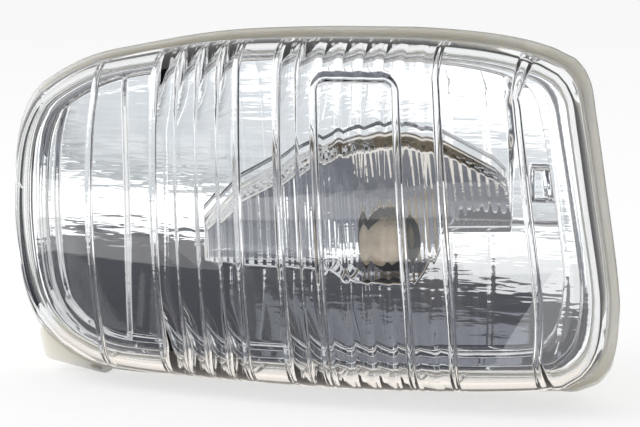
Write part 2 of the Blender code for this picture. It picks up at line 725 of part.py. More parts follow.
def housing_fillers(fillers, carrier, holder_axis):
    flange_back = FIT_GAP + HOUSING_FLANGE_THICKNESS
    root = TUB_DEPTH - HOUSING_WALL / 2
    neck = post(0.0, 0.0, root, NECK_END, HOLDER_RADIUS + FIT_GAP + NECK_WALL)
    helper(mesh_from("neck", neck), fillers, holder_axis)
    pad_middle = BULB_HEIGHT + PAD_ABOVE_BULB
    low = (BULB_ACROSS - PAD_WIDTH / 2, root, pad_middle - PAD_HEIGHT / 2)
    high = (BULB_ACROSS + PAD_WIDTH / 2, PAD_DEPTH, pad_middle + PAD_HEIGHT / 2)
    helper(mesh_from("pad", block(low, high)), fillers, carrier)
    for across, height in BOSSES:
        boss = post(across, height, root, PAD_DEPTH, BOSS_RADIUS, SMALL_SIDES)
        helper(mesh_from("boss", boss), fillers, carrier)
    vent = post(VENT_ACROSS, VENT_HEIGHT, root, VENT_END, VENT_RADIUS, SMALL_SIDES)
    helper(mesh_from("vent_tube", vent), fillers, carrier)
    for height in BACK_RIB_HEIGHTS:
        low = (BACK_RIB_ENDS[0], root, height - BACK_RIB_THICKNESS / 2)
        high = (BACK_RIB_ENDS[1], TUB_DEPTH + BACK_RIB_RISE, height + BACK_RIB_THICKNESS / 2)
        helper(mesh_from("back_rib", block(low, high)), fillers, carrier)
    for across in HOOKS_ACROSS:
        helper(hook_mesh(across, flange_back - HOUSING_WALL / 2), fillers, carrier)
    for name, tab, side, first in (("tab_left", TAB_LEFT, -1, 1), ("tab_right", TAB_RIGHT, 1, 2)):
        points = tab_outline(tab, side)
        helper(plate(name, points, FIT_GAP, flange_back), fillers, carrier)
        lip = tab_lip(points[first], points[first + 1])
        helper(plate(name + "_lip", lip, FIT_GAP + TAB_LIP_THICKNESS, TAB_LIP_DEPTH), fillers, carrier)


def housing_cuts(cuts, carrier, holder_axis):
    through = (TUB_FLOOR - HOUSING_WALL, NECK_END + HOUSING_WALL)
    helper(mesh_from("neck_bore", post(0.0, 0.0, *through, HOLDER_RADIUS + FIT_GAP)), cuts, holder_axis)
    for angle in lug_angles():
        points = sector(
            HOLDER_RADIUS - LUG_REACH / 2,
            HOLDER_RADIUS + LUG_REACH + FIT_GAP,
            angle - UNLOCK_TURN,
            LUG_SPAN + 2 * LUG_CLEARANCE,
        )
        helper(plate("lug_notch", points, *through), cuts, holder_axis)
    pilot_ends = (PAD_DEPTH - PILOT_DEPTH, PAD_DEPTH + PILOT_RADIUS)
    for across, height in BOSSES:
        pilot = post(across, height, *pilot_ends, PILOT_RADIUS, SMALL_SIDES)
        helper(mesh_from("pilot_hole", pilot), cuts, carrier)
    bore = post(VENT_ACROSS, VENT_HEIGHT, through[0], VENT_END + HOUSING_WALL, VENT_BORE_RADIUS, SMALL_SIDES)
    helper(mesh_from("vent_bore", bore), cuts, carrier)
    start, end = (Vector(corner) for corner in tab_outline(TAB_LEFT[1:3], -1))
    run = (end - start).normalized()
    inwards = Vector((-run.y, run.x)) * TAB_SLOT_INSET
    far = end + inwards - run * TAB_SLOT_INSET
    near = far - run * TAB_SLOT_LENGTH
    half = Vector((-run.y, run.x)) * TAB_SLOT_WIDTH / 2
    corners = [tuple(corner) for corner in (near - half, far - half, far + half, near + half)]
    helper(plate("tab_slot", corners, -FIT_GAP, TAB_LIP_DEPTH + FIT_GAP), cuts, carrier)


def build_housing(parts, cutters, carrier, holder_axis, paint):
    flange_back = FIT_GAP + HOUSING_FLANGE_THICKNESS
    wall_inset = CAVITY_INSET - HOUSING_WALL
    rings = (
        outline_ring(CAVITY_INSET + TUB_DRAFT, TUB_FLOOR),
        outline_ring(CAVITY_INSET, FIT_GAP),
        outline_ring(HOUSING_FLANGE_INSET, FIT_GAP),
        outline_ring(HOUSING_FLANGE_INSET, flange_back),
        outline_ring(wall_inset, flange_back),
        outline_ring(wall_inset + TUB_DRAFT, TUB_DEPTH - TUB_CHAMFER),
        outline_ring(wall_inset + TUB_DRAFT + TUB_CHAMFER, TUB_DEPTH),
    )
    mesh = mesh_from("housing", loft(rings))
    housing = add_object("housing", mesh, parts, carrier, paint)
    fillers = new_collection("housing_fillers", cutters)
    housing_fillers(fillers, carrier, holder_axis)
    combine(housing, "UNION", fillers)
    cuts = new_collection("housing_cuts", cutters)
    housing_cuts(cuts, carrier, holder_axis)
    combine(housing, "DIFFERENCE", cuts)
    return housing


# Bulb holder, and what it carries. These are placed from the bulb's axis.


def build_holder(parts, cutters, axis, paint):
    barrel = post(0.0, 0.0, HOLDER_FRONT, COLLAR_BACK, HOLDER_RADIUS)
    holder = add_object("bulb_holder", mesh_from("bulb_holder", barrel), parts, axis, paint)
    fillers = new_collection("holder_fillers", cutters)
    helper(mesh_from("collar", post(0.0, 0.0, COLLAR_FRONT, COLLAR_BACK, COLLAR_RADIUS)), fillers, axis)
    for angle in lug_angles():
        points = sector(HOLDER_RADIUS - LUG_REACH / 2, HOLDER_RADIUS + LUG_REACH, angle, LUG_SPAN)
        helper(plate("lug", points, LUG_BACK - LUG_THICKNESS, LUG_BACK), fillers, axis)
    root = COLLAR_BACK - COLLAR_THICKNESS / 2
    for name, width, height, back in (
        ("shroud", SHROUD_WIDTH, SHROUD_HEIGHT, SHROUD_BACK),
        ("grip", GRIP_LENGTH, GRIP_THICKNESS, COLLAR_BACK + GRIP_RISE),
    ):
        shape = block((-width / 2, root, -height / 2), (width / 2, back, height / 2))
        helper(mesh_from(name, shape), fillers, axis)
    combine(holder, "UNION", fillers)

    cuts = new_collection("holder_cuts", cutters)
    cup = post(0.0, 0.0, HOLDER_FRONT - LUG_THICKNESS, BULB_SHOULDER + FIT_GAP, BULB_RADIUS + FIT_GAP)
    helper(mesh_from("glass_cup", cup), cuts, axis)
    inside, half_base = SHROUD_WALL, BULB_BASE_WIDTH / 2 + FIT_GAP
    slots = {
        "base_slot": (BULB_BASE_THICKNESS / 2 + FIT_GAP, half_base, BULB_SHOULDER, BULB_END + FIT_GAP),
        "plug_socket": (
            SHROUD_WIDTH / 2 - inside, SHROUD_HEIGHT / 2 - inside, SHROUD_SEAT, SHROUD_BACK + inside,
        ),
    }
    for name, (half_width, half_height, front, back) in slots.items():
        shape = block((-half_width, front, -half_height), (half_width, back, half_height))
        helper(mesh_from(name, shape), cuts, axis)
    for side in (-1, 1):
        near, far = CONTACT_INNER - FIT_GAP, CONTACT_INNER + CONTACT_THICKNESS + FIT_GAP
        left, right = sorted((side * near, side * far))
        half = CONTACT_WIDTH / 2 + FIT_GAP
        shape = block((left, CONTACT_FRONT - FIT_GAP, -half), (right, SHROUD_SEAT + FIT_GAP, half))
        helper(mesh_from("contact_slot", shape), cuts, axis)
    combine(holder, "DIFFERENCE", cuts)
    return holder


def build_contacts(parts, axis, paint):
    half = CONTACT_WIDTH / 2
    for name, side in (("contact_left", -1), ("contact_right", 1)):
        left, right = sorted((side * CONTACT_INNER, side * (CONTACT_INNER + CONTACT_THICKNESS)))
        shape = block((left, CONTACT_FRONT, -half), (right, CONTACT_BACK, half))
        add_object(name, mesh_from(name, shape), parts, axis, paint)


def build_bulb(parts, cutters, axis, paint):
    """Glass with a domed tip, one body with its pinched base."""
    tip, shoulder = BULB_TIP, BULB_SHOULDER
    dome = [math.radians(15 * k) for k in range(7)]
    profile = [(0.0, shoulder), (BULB_RADIUS * 0.8, shoulder), (BULB_RADIUS, shoulder - BULB_RADIUS / 2)]
    profile += [
        (BULB_RADIUS * math.cos(angle), tip + BULB_RADIUS * (1 - math.sin(angle))) for angle in dome
    ]
    profile[-1] = (0.0, tip)
    bulb = turned("bulb", profile, parts, axis, paint, SMALL_SIDES)
    fillers = new_collection("bulb_fillers", cutters)
    half_width, half_thickness = BULB_BASE_WIDTH / 2, BULB_BASE_THICKNESS / 2
    low = (-half_thickness, shoulder - BULB_RADIUS / 2, -half_width)
    high = (half_thickness, BULB_END, half_width)
    helper(mesh_from("bulb_base", block(low, high)), fillers, axis)
    combine(bulb, "UNION", fillers)
    return bulb


def build_seal(parts, axis, paint):
    inner, outer = SEAL_RADIUS - SEAL_WIDTH / 2, SEAL_RADIUS + SEAL_WIDTH / 2
    profile = ring_profile(inner, outer, SEAL_FRONT, SEAL_FRONT + SEAL_THICKNESS)
    return turned("holder_seal", profile, parts, axis, paint)


# Vent


def build_vent(parts, axis, rubber, film):
    inner = VENT_RADIUS + FIT_GAP
    outer, back = inner + VENT_CAP_WALL, VENT_CAP_SEAT + VENT_CAP_WALL
    front = VENT_END - VENT_CAP_SKIRT
    edge = VENT_CAP_WALL / 2
    profile = [(0.0, back), (outer - edge, back), (outer, back - edge), (outer, front), (inner, front)]
    profile += [(inner, VENT_CAP_SEAT), (0.0, VENT_CAP_SEAT)]
    turned("vent_cap", profile, parts, axis, rubber, SMALL_SIDES)
    disc = post(0.0, 0.0, MEMBRANE_FRONT, MEMBRANE_FRONT + MEMBRANE_THICKNESS, MEMBRANE_RADIUS, SMALL_SIDES)
    add_object("vent_membrane", mesh_from("vent_membrane", disc), parts, axis, film)


def main():
    clear_scene()
    parts = new_collection("mirror_turn_signal_lamp")
    cutters = new_collection("helpers")
    pad = Vector((BULB_ACROSS, PAD_DEPTH, BULB_HEIGHT + PAD_ABOVE_BULB))
    carrier = empty("lamp_frame", parts, -pad)
    holder_axis = empty("holder_axis", parts, (BULB_ACROSS, 0.0, BULB_HEIGHT), carrier)
    vent_axis = empty("vent_axis", parts, (VENT_ACROSS, 0.0, VENT_HEIGHT), carrier)

    clear = material("clear_polycarbonate", (0.95, 0.96, 0.97), 0.03, alpha=0.35)
    bright = material("metallised_plastic", (0.9, 0.91, 0.92), 0.06, metallic=1.0)
    natural = material("natural_polypropylene", (0.82, 0.81, 0.77), 0.4)
    nylon = material("grey_nylon", (0.09, 0.09, 0.095), 0.45)
    brass = material("tinned_brass", (0.78, 0.7, 0.5), 0.3, metallic=1.0)
    silvered = material("silvered_amber_glass", (0.82, 0.74, 0.6), 0.12, metallic=0.9)
    rubber = material("black_rubber", (0.03, 0.03, 0.03), 0.7)
    film = material("white_membrane", (0.9, 0.9, 0.9), 0.8)

    build_lens(parts, carrier, clear)
    build_reflector(parts, cutters, carrier, bright)
    build_housing(parts, cutters, carrier, holder_axis, natural)
    build_holder(parts, cutters, holder_axis, nylon)
    build_contacts(parts, holder_axis, brass)
    build_bulb(parts, cutters, holder_axis, silvered)
    build_seal(parts, holder_axis, rubber)
    build_vent(parts, vent_axis, rubber, film)


if __name__ == "__main__":
    main()
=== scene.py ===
"""Looks of a mirror turn signal lamp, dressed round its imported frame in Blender 4.5.

The lamp faces -Y. Lens and reflector are made from one family of surfaces: a patch of points that fills
the lens's outline, and closed rings of points round it for each roll, wall and rim. Geometry Nodes then
raise what repeats on them: the lens's ribs and flutes, and the facets round the bulb.
"""

from __future__ import annotations

import json
import logging
import math
from dataclasses import dataclass
from enum import Enum

import bmesh
import bpy
import numpy as np
from bpy.types import Material, Mesh, Node, NodeSocket, NodeTree, Object
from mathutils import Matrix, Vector

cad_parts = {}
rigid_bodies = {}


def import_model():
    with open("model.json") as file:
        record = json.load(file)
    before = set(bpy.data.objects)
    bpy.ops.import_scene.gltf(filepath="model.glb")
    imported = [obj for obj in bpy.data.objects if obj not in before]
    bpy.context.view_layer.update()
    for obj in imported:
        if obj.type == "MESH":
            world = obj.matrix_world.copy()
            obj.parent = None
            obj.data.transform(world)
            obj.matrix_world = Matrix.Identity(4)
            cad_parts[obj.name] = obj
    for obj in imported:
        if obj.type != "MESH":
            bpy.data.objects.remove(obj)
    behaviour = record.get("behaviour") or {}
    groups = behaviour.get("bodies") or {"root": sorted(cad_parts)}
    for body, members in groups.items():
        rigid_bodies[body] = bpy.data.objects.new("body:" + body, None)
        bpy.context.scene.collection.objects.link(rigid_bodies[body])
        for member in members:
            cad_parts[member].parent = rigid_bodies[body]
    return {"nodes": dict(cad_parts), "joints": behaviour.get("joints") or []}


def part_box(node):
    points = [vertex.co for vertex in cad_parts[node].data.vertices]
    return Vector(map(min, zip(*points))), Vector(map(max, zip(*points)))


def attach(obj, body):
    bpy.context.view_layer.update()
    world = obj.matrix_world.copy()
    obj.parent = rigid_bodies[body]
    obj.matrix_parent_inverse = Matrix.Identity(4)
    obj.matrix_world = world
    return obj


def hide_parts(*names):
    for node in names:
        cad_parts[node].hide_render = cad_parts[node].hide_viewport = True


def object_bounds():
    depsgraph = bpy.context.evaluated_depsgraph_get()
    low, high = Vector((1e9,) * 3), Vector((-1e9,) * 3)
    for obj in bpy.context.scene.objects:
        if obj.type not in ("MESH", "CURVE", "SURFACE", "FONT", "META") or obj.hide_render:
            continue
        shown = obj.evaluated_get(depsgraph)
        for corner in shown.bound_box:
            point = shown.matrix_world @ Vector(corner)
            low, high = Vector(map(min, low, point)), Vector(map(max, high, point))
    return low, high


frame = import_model()
CAD_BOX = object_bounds()

MM = 0.001
LENS_LOW, LENS_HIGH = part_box("lens")
# The middle of the lens flange's back face, from which places (across, depth, height) are measured
ORIGIN = np.array([(LENS_LOW.x + LENS_HIGH.x) / 2, LENS_HIGH.y, (LENS_LOW.z + LENS_HIGH.z) / 2])
BULB_AXIS = np.array(frame["joints"][0]["pos_m"]) - ORIGIN
# The same axis seen from the front, and at what angles round it the holder's lugs lie when it is locked
BULB_MIDDLE = (BULB_AXIS[0], BULB_AXIS[2])
LUG_MIDDLES = (90.0, 210.0, 330.0)

Array = np.ndarray
Four = tuple[float, float, float, float]
MATH = "ShaderNodeMath"
FLOAT = "NodeSocketFloat"

log = logging.getLogger("lamp")


class Body(Enum):
    """The two bodies that pieces ride on."""

    LAMP = "lamp"
    HOLDER = "bulb_holder"


def linear(colour: str) -> Four:
    """Turns an sRGB hex colour into linear red, green, blue and alpha.

    Args:
        colour: Six hex digits, such as "e8e4da".

    Returns:
        The colour as a shader's socket takes it.
    """
    parts = [int(colour[k : k + 2], 16) / 255 for k in (0, 2, 4)]
    return (*((c / 12.92 if c <= 0.04045 else ((c + 0.055) / 1.055) ** 2.4) for c in parts), 1.0)


def add_node(tree: NodeTree, kind: str, settings: dict | None = None, inputs: dict | None = None) -> Node:
    """Adds a node with its settings, and fills its inputs.

    Args:
        tree: The material's or the modifier's node tree.
        kind: Blender's name for the node's type.
        settings: Properties of the node.
        inputs: Socket name or number to a value, or to the output or the node that feeds it.

    Returns:
        The node.
    """
    made = tree.nodes.new(kind)
    for name, value in (settings or {}).items():
        setattr(made, name, value)
    for name, value in (inputs or {}).items():
        if isinstance(value, Node):
            value = value.outputs[0]
        if isinstance(value, NodeSocket):
            tree.links.new(value, made.inputs[name])
        else:
            made.inputs[name].default_value = value
    return made


def smooth_step(values: Array) -> Array:
    """Eases from 0 to 1 where the values run from 0 to 1."""
    clipped = np.clip(values, 0.0, 1.0)
    return clipped * clipped * (3 - 2 * clipped)


# Finishes


@dataclass(frozen=True)
class Finish:
    """What every finish has: a name, a material made once, and patterns of a real size."""

    name: str

    def material(self) -> Material:
        """Returns the material, which is made the first time.

        Returns:
            The material.
        """
        known = bpy.data.materials.get(self.name)
        if known:
            return known
        made = bpy.data.materials.new(self.name)
        made.use_nodes = True
        self.paint(made.node_tree, made.node_tree.nodes["Principled BSDF"])
        return made

    def paint(self, tree: NodeTree, shader: Node) -> None:
        """Sets the shader up. Each finish has its own."""
        raise NotImplementedError

    def noise(self, tree: NodeTree, size: float, stretch: tuple = (1.0, 1.0, 1.0)) -> Node:
        """Adds a cloudy pattern from 0 to 1.

        Args:
            tree: The material's tree.
            size: How wide its patches are, in metres.
            stretch: Below 1 for an axis along which they are longer.

        Returns:
            The node that gives it.
        """
        place = add_node(tree, "ShaderNodeTexCoord").outputs["Object"]
        place = add_node(tree, "ShaderNodeMapping", None, {"Vector": place, "Scale": stretch})
        cloud = {"Vector": place, "Scale": 1 / size, "Detail": 2.0}
        cloud = add_node(tree, "ShaderNodeTexNoise", None, cloud)
        return add_node(tree, "ShaderNodeMapRange", None, {"Value": cloud, "From Min": 0.3, "From Max": 0.7})

    def bump(self, tree: NodeTree, shader: Node, height: Node, rise: float) -> None:
        """Lets a pattern raise the surface by so many metres."""
        bump = add_node(tree, "ShaderNodeBump", None, {"Strength": 1.0, "Distance": rise, "Height": height})
        tree.links.new(bump.outputs[0], shader.inputs["Normal"])

    def vary(self, tree: NodeTree, shader: Node, pattern: Node, colours: tuple, roughness: tuple) -> None:
        """Lets colour and roughness run between two values each, as a pattern does.

        Args:
            tree: The material's tree.
            shader: Its Principled BSDF.
            pattern: A pattern from 0 to 1.
            colours: Two colours, in hex.
            roughness: Two values.
        """
        # A mix of colours has them on its sockets 6 and 7, and its result on its output 2
        mixed = {0: pattern, 6: linear(colours[0]), 7: linear(colours[1])}
        mixed = add_node(tree, "ShaderNodeMix", {"data_type": "RGBA"}, mixed)
        rough = {"Value": pattern, "To Min": roughness[0], "To Max": roughness[1]}
        rough = add_node(tree, "ShaderNodeMapRange", None, rough)
        tree.links.new(mixed.outputs[2], shader.inputs["Base Color"])
        tree.links.new(rough.outputs[0], shader.inputs["Roughness"])


@dataclass(frozen=True)
class ClearPolycarbonate(Finish):
    """Injection-moulded in a polished mould: clear and glossy, seen as bright edges and bent reflections.

    The melt's flow leaves a faint waviness, a few millimetres from crest to crest.
    """

    colours: tuple = ("fdfdfd", "fafcfd")
    ior: float = 1.585
    wave: float = 7 * MM
    wave_rise: float = 0.0016 * MM

    def paint(self, tree: NodeTree, shader: Node) -> None:
        """Sets up clear plastic.

        Args:
            tree: The material's tree.
            shader: Its Principled BSDF.
        """
        waves = self.noise(tree, self.wave)
        self.vary(tree, shader, waves, self.colours, (0.0, 0.0))
        self.bump(tree, shader, waves, self.wave_rise)
        shader.inputs["IOR"].default_value = self.ior
        shader.inputs["Transmission Weight"].default_value = 1.0


@dataclass(frozen=True)
class MetallisedPlastic(Finish):
    """Aluminium vapour on moulded plastic: a mirror that shows what is round it, not a colour of its own.

    The coat follows the moulding's fine level ripples, which make reflections shimmer, and has faint haze.
    """

    colours: tuple = ("f8f8f8", "f1f2f3")
    roughness: tuple = (0.03, 0.038)
    ripple: float = 1.6 * MM
    ripple_rise: float = 0.01 * MM
    haze: float = 9 * MM

    def paint(self, tree: NodeTree, shader: Node) -> None:
        """Sets up a bright metal coat with ripples that lie level.

        Args:
            tree: The material's tree.
            shader: Its Principled BSDF.
        """
        self.vary(tree, shader, self.noise(tree, self.haze), self.colours, self.roughness)
        self.bump(tree, shader, self.noise(tree, self.ripple, (0.16, 0.16, 1.0)), self.ripple_rise)
        shader.inputs["Metallic"].default_value = 1.0


@dataclass(frozen=True)
class Moulded(Finish):
    """Plastic or rubber from a spark-eroded mould: matt, with an even grain and slow clouds of tone.

    The grain is drawn coarser than the real one, of about 0.05 mm, so that it shows at all.
    """

    colours: tuple[str, str]
    roughness: tuple[float, float]
    cloud: float = 9 * MM
    stretch: tuple = (1.0, 1.0, 1.0)
    grain: float = 0.25 * MM
    grain_rise: float = 0.004 * MM
    milkiness: float = 0.0

    def paint(self, tree: NodeTree, shader: Node) -> None:
        """Sets up matt plastic, with light in its depth where it's milky.

        Args:
            tree: The material's tree.
            shader: Its Principled BSDF.
        """
        self.vary(tree, shader, self.noise(tree, self.cloud, self.stretch), self.colours, self.roughness)
        self.bump(tree, shader, self.noise(tree, self.grain), self.grain_rise)
        shader.inputs["Subsurface Weight"].default_value = self.milkiness
        shader.inputs["Subsurface Radius"].default_value = (1.0, 0.9, 0.75)
        shader.inputs["Subsurface Scale"].default_value = 6 * MM


@dataclass(frozen=True)
class Scratched(Finish):
    """A metal, or a metal coat, with dull patches and fine scratches along one axis."""

    colours: tuple[str, str]
    roughness: tuple[float, float]
    metallic: float
    patch: float
    scratch: float = 0.15 * MM
    along: tuple = (1.0, 0.04, 1.0)
    scratch_rise: float = 0.002 * MM

    def paint(self, tree: NodeTree, shader: Node) -> None:
        """Sets up metal.

        Args:
            tree: The material's tree.
            shader: Its Principled BSDF.
        """
        self.vary(tree, shader, self.noise(tree, self.patch), self.colours, self.roughness)
        self.bump(tree, shader, self.noise(tree, self.scratch, self.along), self.scratch_rise)
        shader.inputs["Metallic"].default_value = self.metallic


CLEAR = ClearPolycarbonate("clear_polycarbonate")
BRIGHT = MetallisedPlastic("metallised_plastic")
# Undyed polypropylene is milky: light goes some millimetres into it, and thick places look creamier
NATURAL = Moulded("natural_polypropylene", ("edebe4", "e4e1d8"), (0.38, 0.46), 14 * MM, milkiness=1.0)
# The glass fibres in dark nylon lie along the melt's flow and show as pale streaks with a dry sheen
NYLON = Moulded("glass_filled_nylon", ("434446", "545557"), (0.44, 0.58), 0.9 * MM, (1.0, 0.15, 1.0))
# Moulded rubber has next to no gloss, and a thin grey bloom in patches
RUBBER = Moulded("moulded_rubber", ("19191a", "262627"), (0.66, 0.84), 4 * MM, grain_rise=0.006 * MM)
# A membrane of stretched film is a white web of fine fibres, with no gloss
FILM = Moulded("membrane_film", ("f5f5f3", "e9e9e6"), (0.8, 0.9), 0.4 * MM, grain=0.12 * MM)
# Brass strip, rolled and then plated with tin: greyish white with a warm cast, scratched where it is plugged
TINNED = Scratched("tinned_brass", ("dcd7c6", "c3bcaa"), (0.2, 0.38), 1.0, 1.5 * MM)
# A thin coat of silver on glass that is cream beneath it: soft gloss and no sharp mirror image
SILVERED = Scratched("silvered_glass", ("f6e3c8", "ead4b4"), (0.26, 0.36), 0.1, 3 * MM, along=(0.3, 1.0, 0.3))


# Surfaces that fill the outline


@dataclass(frozen=True)
class Outline:
    """The lens's outline seen from the front, and the grids of points that fill it.

    Its points are parts of half the width and height, clockwise from the lower left. Each side runs on
    to the first point of the next. An inset is (left, right, bottom, top), in metres.
    """

    width: float
    height: float
    left: tuple = ((-0.94, -0.68), (-0.982, -0.44), (-1.0, -0.05), (-0.985, 0.33))
    top: tuple = (
        (-0.94, 0.56), (-0.875, 0.68), (-0.73, 0.81), (-0.55, 0.885), (-0.25, 0.97), (0.12, 1.0),
        (0.42, 0.995), (0.67, 0.95), (0.835, 0.86),
    )
    right: tuple = ((0.893, 0.74), (0.918, 0.53), (0.955, 0.12), (0.992, -0.32), (1.0, -0.55))
    bottom: tuple = (
        (0.983, -0.77), (0.935, -0.895), (0.84, -0.955), (0.36, -0.995), (-0.28, -1.0), (-0.66, -0.985),
        (-0.8, -0.915), (-0.88, -0.82),
    )
    steps: int = 12
    end_fade: int = 8

    def loop(self, insets: Four) -> Array:
        """Returns the outline as a closed smooth line, set in on its four sides.

        Args:
            insets: How far it is set in.

        Returns:
            Points (across, height), clockwise from the lower left.
        """
        points = np.array(self.left + self.top + self.right + self.bottom)
        before, after, beyond = (np.roll(points, shift, 0) for shift in (1, -1, -2))
        t = np.linspace(0.0, 1.0, self.steps, endpoint=False)[:, None, None]
        curve = (
            points
            + t * (after - before) / 2
            + t**2 * (before - 2.5 * points + 2 * after - 0.5 * beyond)
            + t**3 * (-0.5 * before + 1.5 * points - 1.5 * after + 0.5 * beyond)
        )
        left, right, bottom, top = insets
        middle = np.array([left - right, bottom - top]) / 2
        half = np.array([self.width - left - right, self.height - bottom - top]) / 2
        return np.clip(curve.swapaxes(0, 1).reshape(-1, 2), -1.0, 1.0) * half + middle

    def sides(self, insets: Four) -> list[Array]:
        """Returns left and right from bottom to top, then bottom and top from left to right.

        Args:
            insets: How far the outline is set in.

        Returns:
            The four sides, each as points (across, height).
        """
        loop = self.loop(insets)
        loop = np.concatenate([loop, loop[:1]])
        ends = np.cumsum([len(side) for side in (self.left, self.top, self.right)]) * self.steps
        left, top = loop[: ends[0] + 1], loop[ends[0] : ends[1] + 1]
        right, bottom = loop[ends[1] : ends[2] + 1], loop[ends[2] :]
        return [left, right[::-1], bottom[::-1], top]

    def patch(self, shares: Array, up: Array, insets: tuple) -> Array:
        """Fills the outline with points.

        Args:
            shares: From 0 to 1, one for each line from bottom to top.
            up: From 0 to 1, the points on each line, for all lines or for each.
            insets: How far the outline is set in.

        Returns:
            Points (across, height), one row of them for each line.
        """
        left, right, bottom, top = self.sides(insets)
        s = np.asarray(shares, float)[:, None]
        t = np.broadcast_to(np.asarray(up, float), (len(s), np.shape(up)[-1]))
        foot, head = along(bottom, s, 0), along(top, s, 0)
        grid = foot + (head - foot) * t[..., None]
        for side, weight in ((left, (1 - s) ** self.end_fade), (right, s**self.end_fade)):
            chord = side[0] + (side[-1] - side[0]) * t[..., None]
            grid = grid + weight[..., None] * (along(side, t, 1) - chord)
        return grid

    def ring(self, shares: Array, up: Array, insets: tuple, inner: tuple | None = None) -> Array:
        """Returns the closed ring of points round a patch.

        Args:
            shares: As for patch.
            up: As for patch.
            insets: How far the ring is set in.
            inner: The insets of a smaller patch, from whose lines the ring's points lie straight out.

        Returns:
            Points (across, height), in the order in which they lie round it.
        """
        left, right, bottom, top = self.sides(insets)
        t = np.broadcast_to(up, (len(shares), np.shape(up)[-1]))
        foot = head = shares
        if inner:
            _, _, inner_bottom, inner_top = self.sides(inner)
            foot, head = straight(bottom, inner_bottom, shares), straight(top, inner_top, shares)
        lower, upper = along(bottom, foot, 0), along(top, head, 0)
        first, last = along(left, t[0], 1), along(right, t[-1], 1)
        return np.concatenate([lower, last[1:], upper[-2::-1], first[-2:0:-1]])

    def span(self, insets: Four) -> tuple[float, float]:
        """Returns the places across at which the first and the last line cross half height."""
        left, right, _, _ = self.sides(insets)
        return (left[0, 0] + left[-1, 0]) / 2, (right[0, 0] + right[-1, 0]) / 2


def along(side: Array, share: Array, axis: int) -> Array:
    """Returns the point of a side at a share, from 0 to 1, of its run along an axis."""
    place = side[0, axis] + (side[-1, axis] - side[0, axis]) * share
    return np.stack([np.interp(place, side[:, axis], side[:, k]) for k in (0, 1)], -1)


def straight(side: Array, inner: Array, shares: Array, ends: float = 0.06) -> Array:
    """Finds the shares of a side that lie level with an inner side's.

    Args:
        side: The side's points.
        inner: The inner side's points.
        shares: The shares of the inner side.
        ends: The part of the run, at either end, over which they fade into the inner side's own shares.

    Returns:
        The side's shares.
    """
    target = (inner[0, 0] + (inner[-1, 0] - inner[0, 0]) * shares - side[0, 0]) / (side[-1, 0] - side[0, 0])
    return shares + (target - shares) * smooth_step(np.minimum(shares, 1 - shares) / ends)


def even(inset: float) -> Four:
    """Returns the same inset for all four sides."""
    return (inset,) * 4


def rim_of(grid: Array) -> Array:
    """Returns what lies round a grid's edge, in order."""
    return np.concatenate([grid[:, 0], grid[-1, 1:], grid[-2::-1, -1], grid[0, -2:0:-1]])


def at_depth(points: Array, depth: Array | float) -> Array:
    """Returns points (across, depth, height) from points (across, height)."""
    return np.stack([points[..., 0], np.broadcast_to(depth, points.shape[:-1]), points[..., 1]], -1)


@dataclass
class Moulding:
    """A closed body: a front grid, closed rings round it from front to back, and a back grid."""

    front: Array
    rings: list[Array]
    back: Array

    def mesh(self, name: str) -> Mesh:
        """Builds the mesh, with its faces pointing out.

        Args:
            name: The mesh's name.

        Returns:
            A smooth-shaded mesh in the row frame.
        """
        across, up = self.front.shape[:2]
        size = across * up
        grid = np.arange(size).reshape(across, up)
        count = len(self.rings[0])
        loops = [rim_of(grid)]
        loops += [size + k * count + np.arange(count) for k in range(len(self.rings))]
        back = grid + size + len(self.rings) * count
        loops.append(rim_of(back))
        quads = [np.stack([grid[:-1, :-1], grid[1:, :-1], grid[1:, 1:], grid[:-1, 1:]], -1)]
        for one, other in zip(loops, loops[1:]):
            quads.append(np.stack([one, other, np.roll(other, -1), np.roll(one, -1)], -1))
        quads.append(np.stack([back[:-1, :-1], back[:-1, 1:], back[1:, 1:], back[1:, :-1]], -1))
        quads = [faces.reshape(-1, 4) for faces in quads]
        points = np.concatenate([self.front.reshape(-1, 3), *self.rings, self.back.reshape(-1, 3)]) + ORIGIN
        mesh = bpy.data.meshes.new(name)
        mesh.from_pydata(points.tolist(), [], np.concatenate(quads).tolist())
        mesh.update()
        mesh.shade_smooth()
        return mesh

    def spread(self, front: Array, rings: Array | list[Array], back: Array) -> Array:
        """Returns one value for each point of the mesh, in its order.

        Args:
            front: The front grid's values.
            rings: The values of each ring, or those that all rings have.
            back: The back grid's values.

        Returns:
            The values in one row.
        """
        rings = rings if isinstance(rings, list) else [rings] * len(self.rings)
        return np.concatenate([front.ravel(), *rings, back.ravel()])


def store(mesh: Mesh, name: str, values: Array) -> None:
    """Stores one number, or one vector, for each point of a mesh.

    Args:
        mesh: The mesh.
        name: The attribute's name, which a node tree reads.
        values: An array of numbers, or of rows of three.
    """
    flat = values.ndim == 1
    layer = mesh.attributes.new(name, "FLOAT" if flat else "FLOAT_VECTOR", "POINT")
    layer.data.foreach_set("value" if flat else "vector", values.astype(np.float32).ravel())


def put(name: str, data: bpy.types.ID) -> Object:
    """Returns a new object in the scene, at the origin.

    Args:
        name: Its name.
        data: Its mesh, light or camera.

    Returns:
        The object.
    """
    made = bpy.data.objects.new(name, data)
    bpy.context.scene.collection.objects.link(made)
    return made


def new_piece(name: str, mesh: Mesh, finish: Finish) -> Object:
    """Returns a new piece with its finish.

    Args:
        name: Its name.
        mesh: Its mesh.
        finish: Its finish.

    Returns:
        The piece.
    """
    mesh.materials.clear()
    mesh.materials.append(finish.material())
    return put(name, mesh)


def add_tree(piece: Object, tree: NodeTree, values: dict[str, object]) -> None:
    """Puts a Geometry Nodes tree on a piece.

    Args:
        piece: The piece.
        tree: The tree.
        values: Input name to value.
    """
    modifier = piece.modifiers.new(tree.name, "NODES")
    modifier.node_group = tree
    for item in tree.interface.items_tree:
        if item.in_out == "INPUT" and item.name in values:
            modifier[item.identifier] = values[item.name]


